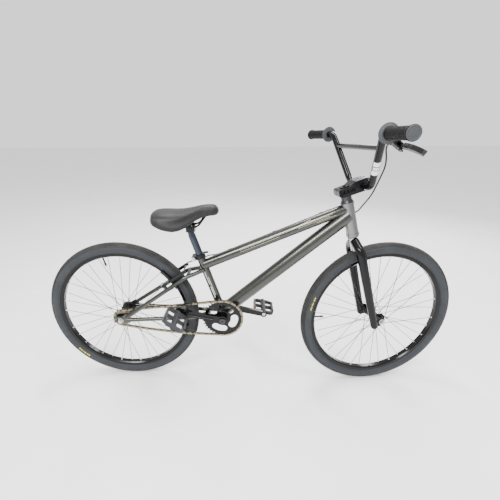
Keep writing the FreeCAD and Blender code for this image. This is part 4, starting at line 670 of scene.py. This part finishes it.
def saddle_ring(half, top, skirt, drawn):
    """One closed section: crowned skin, rolled lower edge, and the hollow underneath."""
    depth = top - skirt
    skin = [
        (0.0, top), (0.20, top - 0.008 * depth), (0.40, top - 0.035 * depth), (0.58, top - 0.085 * depth),
        (0.74, top - 0.17 * depth), (0.865 - drawn * 0.3, top - 0.29 * depth),
        (0.93 - drawn * 0.8, top - 0.42 * depth), (0.975 - drawn, skirt + 0.45 * depth),
        (0.995 - drawn * 0.7, skirt + 0.32 * depth), (1.0 - drawn * 0.2, skirt + 0.19 * depth),
        (0.985, skirt + 0.08 * depth), (0.95, skirt + 0.015 * depth), (0.90, skirt),
    ]
    wall = max(0.90 - 0.0066 / half, 0.45)
    level = top - max(0.45 * depth, min(0.003, 0.6 * depth))
    hollow = [(0.5 * (0.90 + wall), skirt + 0.0003), (wall, skirt + 0.001), (wall, 0.5 * (skirt + level)),
              (wall, level), (0.5 * wall, level), (0.0, level)]
    right = [(share * half, up) for share, up in skin + hollow]
    left = [(-side, up) for side, up in right[-2:0:-1]]
    return right + left


def build_saddle(rows):
    """The skin moulded over the saddle's foam."""
    points, faces = [], []
    for along, half, top, skirt, drawn in rows:
        for side, up in saddle_ring(half, top, skirt, max(drawn, 0.0)):
            points.append((SADDLE_LOW.x + along, side, SADDLE_LOW.z + up))
    count = len(points) // len(rows)
    for k in range(len(rows) - 1):
        for j in range(count):
            after = (j + 1) % count
            near = k * count
            far = near + count
            faces.append((near + j, near + after, far + after, far + j))
    faces.append(tuple(range(count - 1, -1, -1)))
    faces.append(tuple((len(rows) - 1) * count + j for j in range(count)))
    mesh = mesh_from("saddle_cover", points, faces)
    face_outward(mesh)
    cover = add_object("saddle_cover", mesh, SADDLE_SKIN)
    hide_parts("saddle_cushion")
    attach(cover, "saddle_and_post")


SEAM_RADIUS = 0.0011


def build_saddle_seam(rows):
    """The bead round the skin's lower edge."""
    edge = []
    for along, half, top, skirt, drawn in rows[2:-2:3]:
        edge.append((along, half * 0.985, skirt + 0.10 * (top - skirt)))
    loop = [(x, side, up) for x, side, up in edge] + [(x, -side, up) for x, side, up in reversed(edge)]
    seam = bpy.data.curves.new("saddle_seam", "CURVE")
    seam.dimensions = "3D"
    seam.bevel_depth = SEAM_RADIUS
    seam.bevel_resolution = 3
    line = seam.splines.new("NURBS")
    line.points.add(len(loop) - 1)
    for point, (x, side, up) in zip(line.points, loop):
        point.co = (SADDLE_LOW.x + x, side, SADDLE_LOW.z + up, 1)
    line.order_u = 3
    line.use_cyclic_u = True
    seam.materials.append(SADDLE_SKIN.mat)
    piping = bpy.data.objects.new("saddle_seam", seam)
    bpy.context.collection.objects.link(piping)
    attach(piping, "saddle_and_post")


SADDLE_ROWS = smooth_rows(SADDLE_SECTIONS, 72)
build_saddle(SADDLE_ROWS)
build_saddle_seam(SADDLE_ROWS)

# ------------------------------------------------------------------ grips

# Directions of the two grips' centre lines, outward, by side.
GRIP_AXES = {1: Vector((-0.2684, 0.9626, -0.0372)), -1: Vector((-0.0288, -0.9989, 0.0378))}
END_SLICE = 0.001


def grip_line(side):
    """The outer and inner ends of a grip's centre line, read from its CAD mesh."""
    node = frame["nodes"]["grips"]
    flat = np.empty(len(node.data.vertices) * 3)
    node.data.vertices.foreach_get("co", flat)
    world = np.array(node.matrix_world)
    spots = flat.reshape(-1, 3) @ world[:3, :3].T + world[:3, 3]
    spots = spots[spots[:, 1] * side > 0]
    reach = spots @ np.array(GRIP_AXES[side].normalized())
    outer = spots[reach > reach.max() - END_SLICE]
    inner = spots[reach < reach.min() + END_SLICE]
    return [Vector((face.min(axis=0) + face.max(axis=0)) / 2) for face in (outer, inner)]


def turned(name, start, end, profile, segments, material, relief=None):
    """A form turned about a line. profile holds (distance from start, radius).

    relief gives the extra radius at a distance along the line and an angle about it.
    """
    axis = (end - start).normalized()
    side = axis.cross(Z).normalized()
    up = side.cross(axis)
    points, faces = [], []
    for along, radius in profile:
        for k in range(segments):
            angle = 2 * math.pi * k / segments
            extra = relief(along, angle) if relief else 0.0
            out = side * math.cos(angle) + up * math.sin(angle)
            points.append(start + axis * along + out * (radius + extra))
    for j in range(len(profile) - 1):
        for k in range(segments):
            after = (k + 1) % segments
            near = j * segments
            far = near + segments
            faces.append((near + k, near + after, far + after, far + k))
    last = (len(profile) - 1) * segments
    for k in range(segments):
        after = (k + 1) % segments
        faces.append((last + k, last + after, after, k))
    mesh = mesh_from(name, points, faces)
    face_outward(mesh)
    obj = add_object(name, mesh, material)
    mesh.set_sharp_from_angle(angle=math.radians(40))
    return obj


GRIP_BORE = 0.0112
GRIP_RADIUS = 0.0156
SLEEVE_START = 0.0072
CAP_THICKNESS = 0.003
TEXTURE_PITCH = 0.0036
TEXTURE_HEIGHT = 0.00055
TEXTURE_ROWS = 26
FLANGE_PROFILE = (
    (0.0, GRIP_BORE), (0.0, 0.0250), (0.0005, 0.0262), (0.0020, 0.0267), (0.0035, 0.0262),
    (0.0042, 0.0248), (0.0050, 0.0210), (0.0070, 0.0190), (0.0070, GRIP_BORE),
)
CAP_PROFILE = (
    (-0.012, 0.0001), (-0.012, 0.0088), (0.0002, 0.0088), (0.0002, 0.0168), (0.0012, 0.0172),
    (0.0024, 0.0166), (0.0029, 0.0150), (0.0024, 0.0138), (0.0020, 0.0120), (0.0026, 0.0100),
    (0.0030, 0.0060), (0.0030, 0.0001),
)


def build_grips():
    """Each grip as a knurled sleeve with a flange at its inner end and a cap at its outer end."""
    for side, word in ((-1, "right"), (1, "left")):
        outer, inner = grip_line(side)
        axis = (outer - inner).normalized()
        length = (outer - inner).length - CAP_THICKNESS
        steps = 150

        def texture(along, angle):
            if along < 0.012 or along > length - 0.010:
                return 0.0
            wave = math.sin(along * 2 * math.pi / TEXTURE_PITCH) * math.cos(angle * TEXTURE_ROWS)
            return TEXTURE_HEIGHT * max(wave, -0.2)

        start = SLEEVE_START
        sleeve = [(start, GRIP_BORE), (start, 0.0158)]
        sleeve += [(start + (length - 0.0095 - start) * k / steps, GRIP_RADIUS) for k in range(1, steps + 1)]
        sleeve += [(length - 0.008, 0.0168), (length - 0.004, 0.0182), (length - 0.001, 0.0184),
                   (length - 0.0002, 0.0178), (length, 0.0166), (length, GRIP_BORE)]
        grip = turned("grip_" + word, inner, outer, sleeve, 104, GRIP_RUBBER, texture)
        flange = turned("grip_flange_" + word, inner, outer, FLANGE_PROFILE, 72, GRIP_GREY)
        cap_start = inner + axis * length
        cap = turned("grip_cap_" + word, cap_start, cap_start + axis, CAP_PROFILE, 64, GRIP_GREY)
        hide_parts("grips")
        for piece in (grip, flange, cap):
            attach(piece, "steering")


build_grips()

# ------------------------------------------------------------------ brake cable

CABLE_RADIUS = 0.0025
CABLE_PATH = (
    (0.3736, -0.1543, 0.9438), (0.3704, -0.1285, 0.9429), (0.3966, -0.0993, 0.8858),
    (0.3943, -0.0732, 0.8379), (0.3891, -0.0457, 0.7818), (0.3746, -0.0207, 0.7428),
    (0.3700, 0.0020, 0.7172), (0.3596, 0.0300, 0.7004), (0.2940, 0.0274, 0.7243),
    (0.2686, 0.0214, 0.7135),
)


def build_front_cable(path):
    """The free loop between the lever and the top tube's first clip."""
    curve = bpy.data.curves.new("brake_cable_front", "CURVE")
    curve.dimensions = "3D"
    curve.resolution_u = 16
    curve.bevel_depth = CABLE_RADIUS
    curve.bevel_resolution = 5
    curve.use_fill_caps = True
    line = curve.splines.new("NURBS")
    line.points.add(len(path) - 1)
    for point, place in zip(line.points, path):
        point.co = (*place, 1)
    line.order_u = 3
    line.use_endpoint_u = True
    curve.materials.append(CABLE_SLEEVE.mat)
    swept = bpy.data.objects.new("cable_sweep", curve)
    bpy.context.collection.objects.link(swept)
    graph = bpy.context.evaluated_depsgraph_get()
    mesh = bpy.data.meshes.new_from_object(swept.evaluated_get(graph))
    bpy.data.objects.remove(swept)
    cable = add_object("brake_cable_front", mesh)
    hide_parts("cable_front_loop")
    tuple(path[-1])
    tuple(path[0])
    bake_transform(cable)


build_front_cable(CABLE_PATH)

# ------------------------------------------------------------------ pedal reflectors

PEDAL_LEFT_TILT = math.radians(-12.0)
REFLECTOR_FACE = 0.0419
REFLECTOR_LAYERS = ((0.0, 0.0235, 0.0060), (0.0011, 0.0230, 0.0055), (0.0016, 0.0205, 0.0035))


def build_reflectors():
    """An amber block set in the front and rear bars of the left pedal."""
    low, high = [Vector(corner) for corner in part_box("pedal_left")]
    middle = (low + high) / 2
    tilt = PEDAL_LEFT_TILT
    ahead = Vector((math.cos(tilt), 0, math.sin(tilt)))
    up = Vector((-math.sin(tilt), 0, math.cos(tilt)))
    for word, way in (("front", 1), ("rear", -1)):
        face = middle + ahead * (way * REFLECTOR_FACE)
        points = []
        for out, width, height in REFLECTOR_LAYERS:
            for side_way, up_way in CORNERS:
                points.append(face + ahead * (way * out) + Y * (side_way * width) + up * (up_way * height))
        faces = [(0, 1, 2, 3), (8, 9, 10, 11)]
        for layer in (0, 4):
            for j in range(4):
                after = layer + (j + 1) % 4
                faces.append((layer + j, after, after + 4, layer + 4 + j))
        mesh = mesh_from("pedal_reflector_" + word, points, faces)
        face_outward(mesh)
        plate = add_object("pedal_reflector_" + word, mesh, AMBER, False)
        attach(plate, "left_pedal")


build_reflectors()

# ------------------------------------------------------------------ studio


FLOOR_REACH = 14.0
LIGHT_AIM = Vector((0, 0, 0.4))


def make_studio():
    """A plain pale floor, an even white surround and three soft lights."""
    floor_material = Nodes("studio_floor")
    grain = floor_material.ramp(
        floor_material.noise(3.0, 3.0), [(0.3, (0.86, 0.86, 0.86)), (0.7, (0.90, 0.90, 0.90))]
    )
    floor_material.set(Base_Color=grain, Roughness=0.9)
    corners = [(x * FLOOR_REACH, y * FLOOR_REACH, 0) for x, y in CORNERS]
    floor = add_object("studio_floor", mesh_from("studio_floor", corners, [(0, 1, 2, 3)]), floor_material)
    world = bpy.data.worlds.new("studio")
    bpy.context.scene.world = world
    world.use_nodes = True
    back = world.node_tree.nodes["Background"]
    back.inputs["Color"].default_value = (1.0, 1.0, 1.0, 1)
    back.inputs["Strength"].default_value = 1.35
    for name, place, size_x, size_y, power in (
        ("key", (-1.2, -2.2, 2.6), 2.4, 0.6, 150),
        ("top", (0.3, 0.2, 3.0), 3.4, 0.35, 150),
        ("rim_light", (1.6, 2.2, 1.8), 1.6, 0.6, 60),
    ):
        light = bpy.data.lights.new(name, "AREA")
        light.shape = "RECTANGLE"
        light.size = size_x
        light.size_y = size_y
        light.energy = power
        lamp = bpy.data.objects.new(name, light)
        lamp.location = place
        lamp.rotation_euler = (LIGHT_AIM - Vector(place)).to_track_quat("-Z", "Y").to_euler()
        bpy.context.collection.objects.link(lamp)


make_studio()
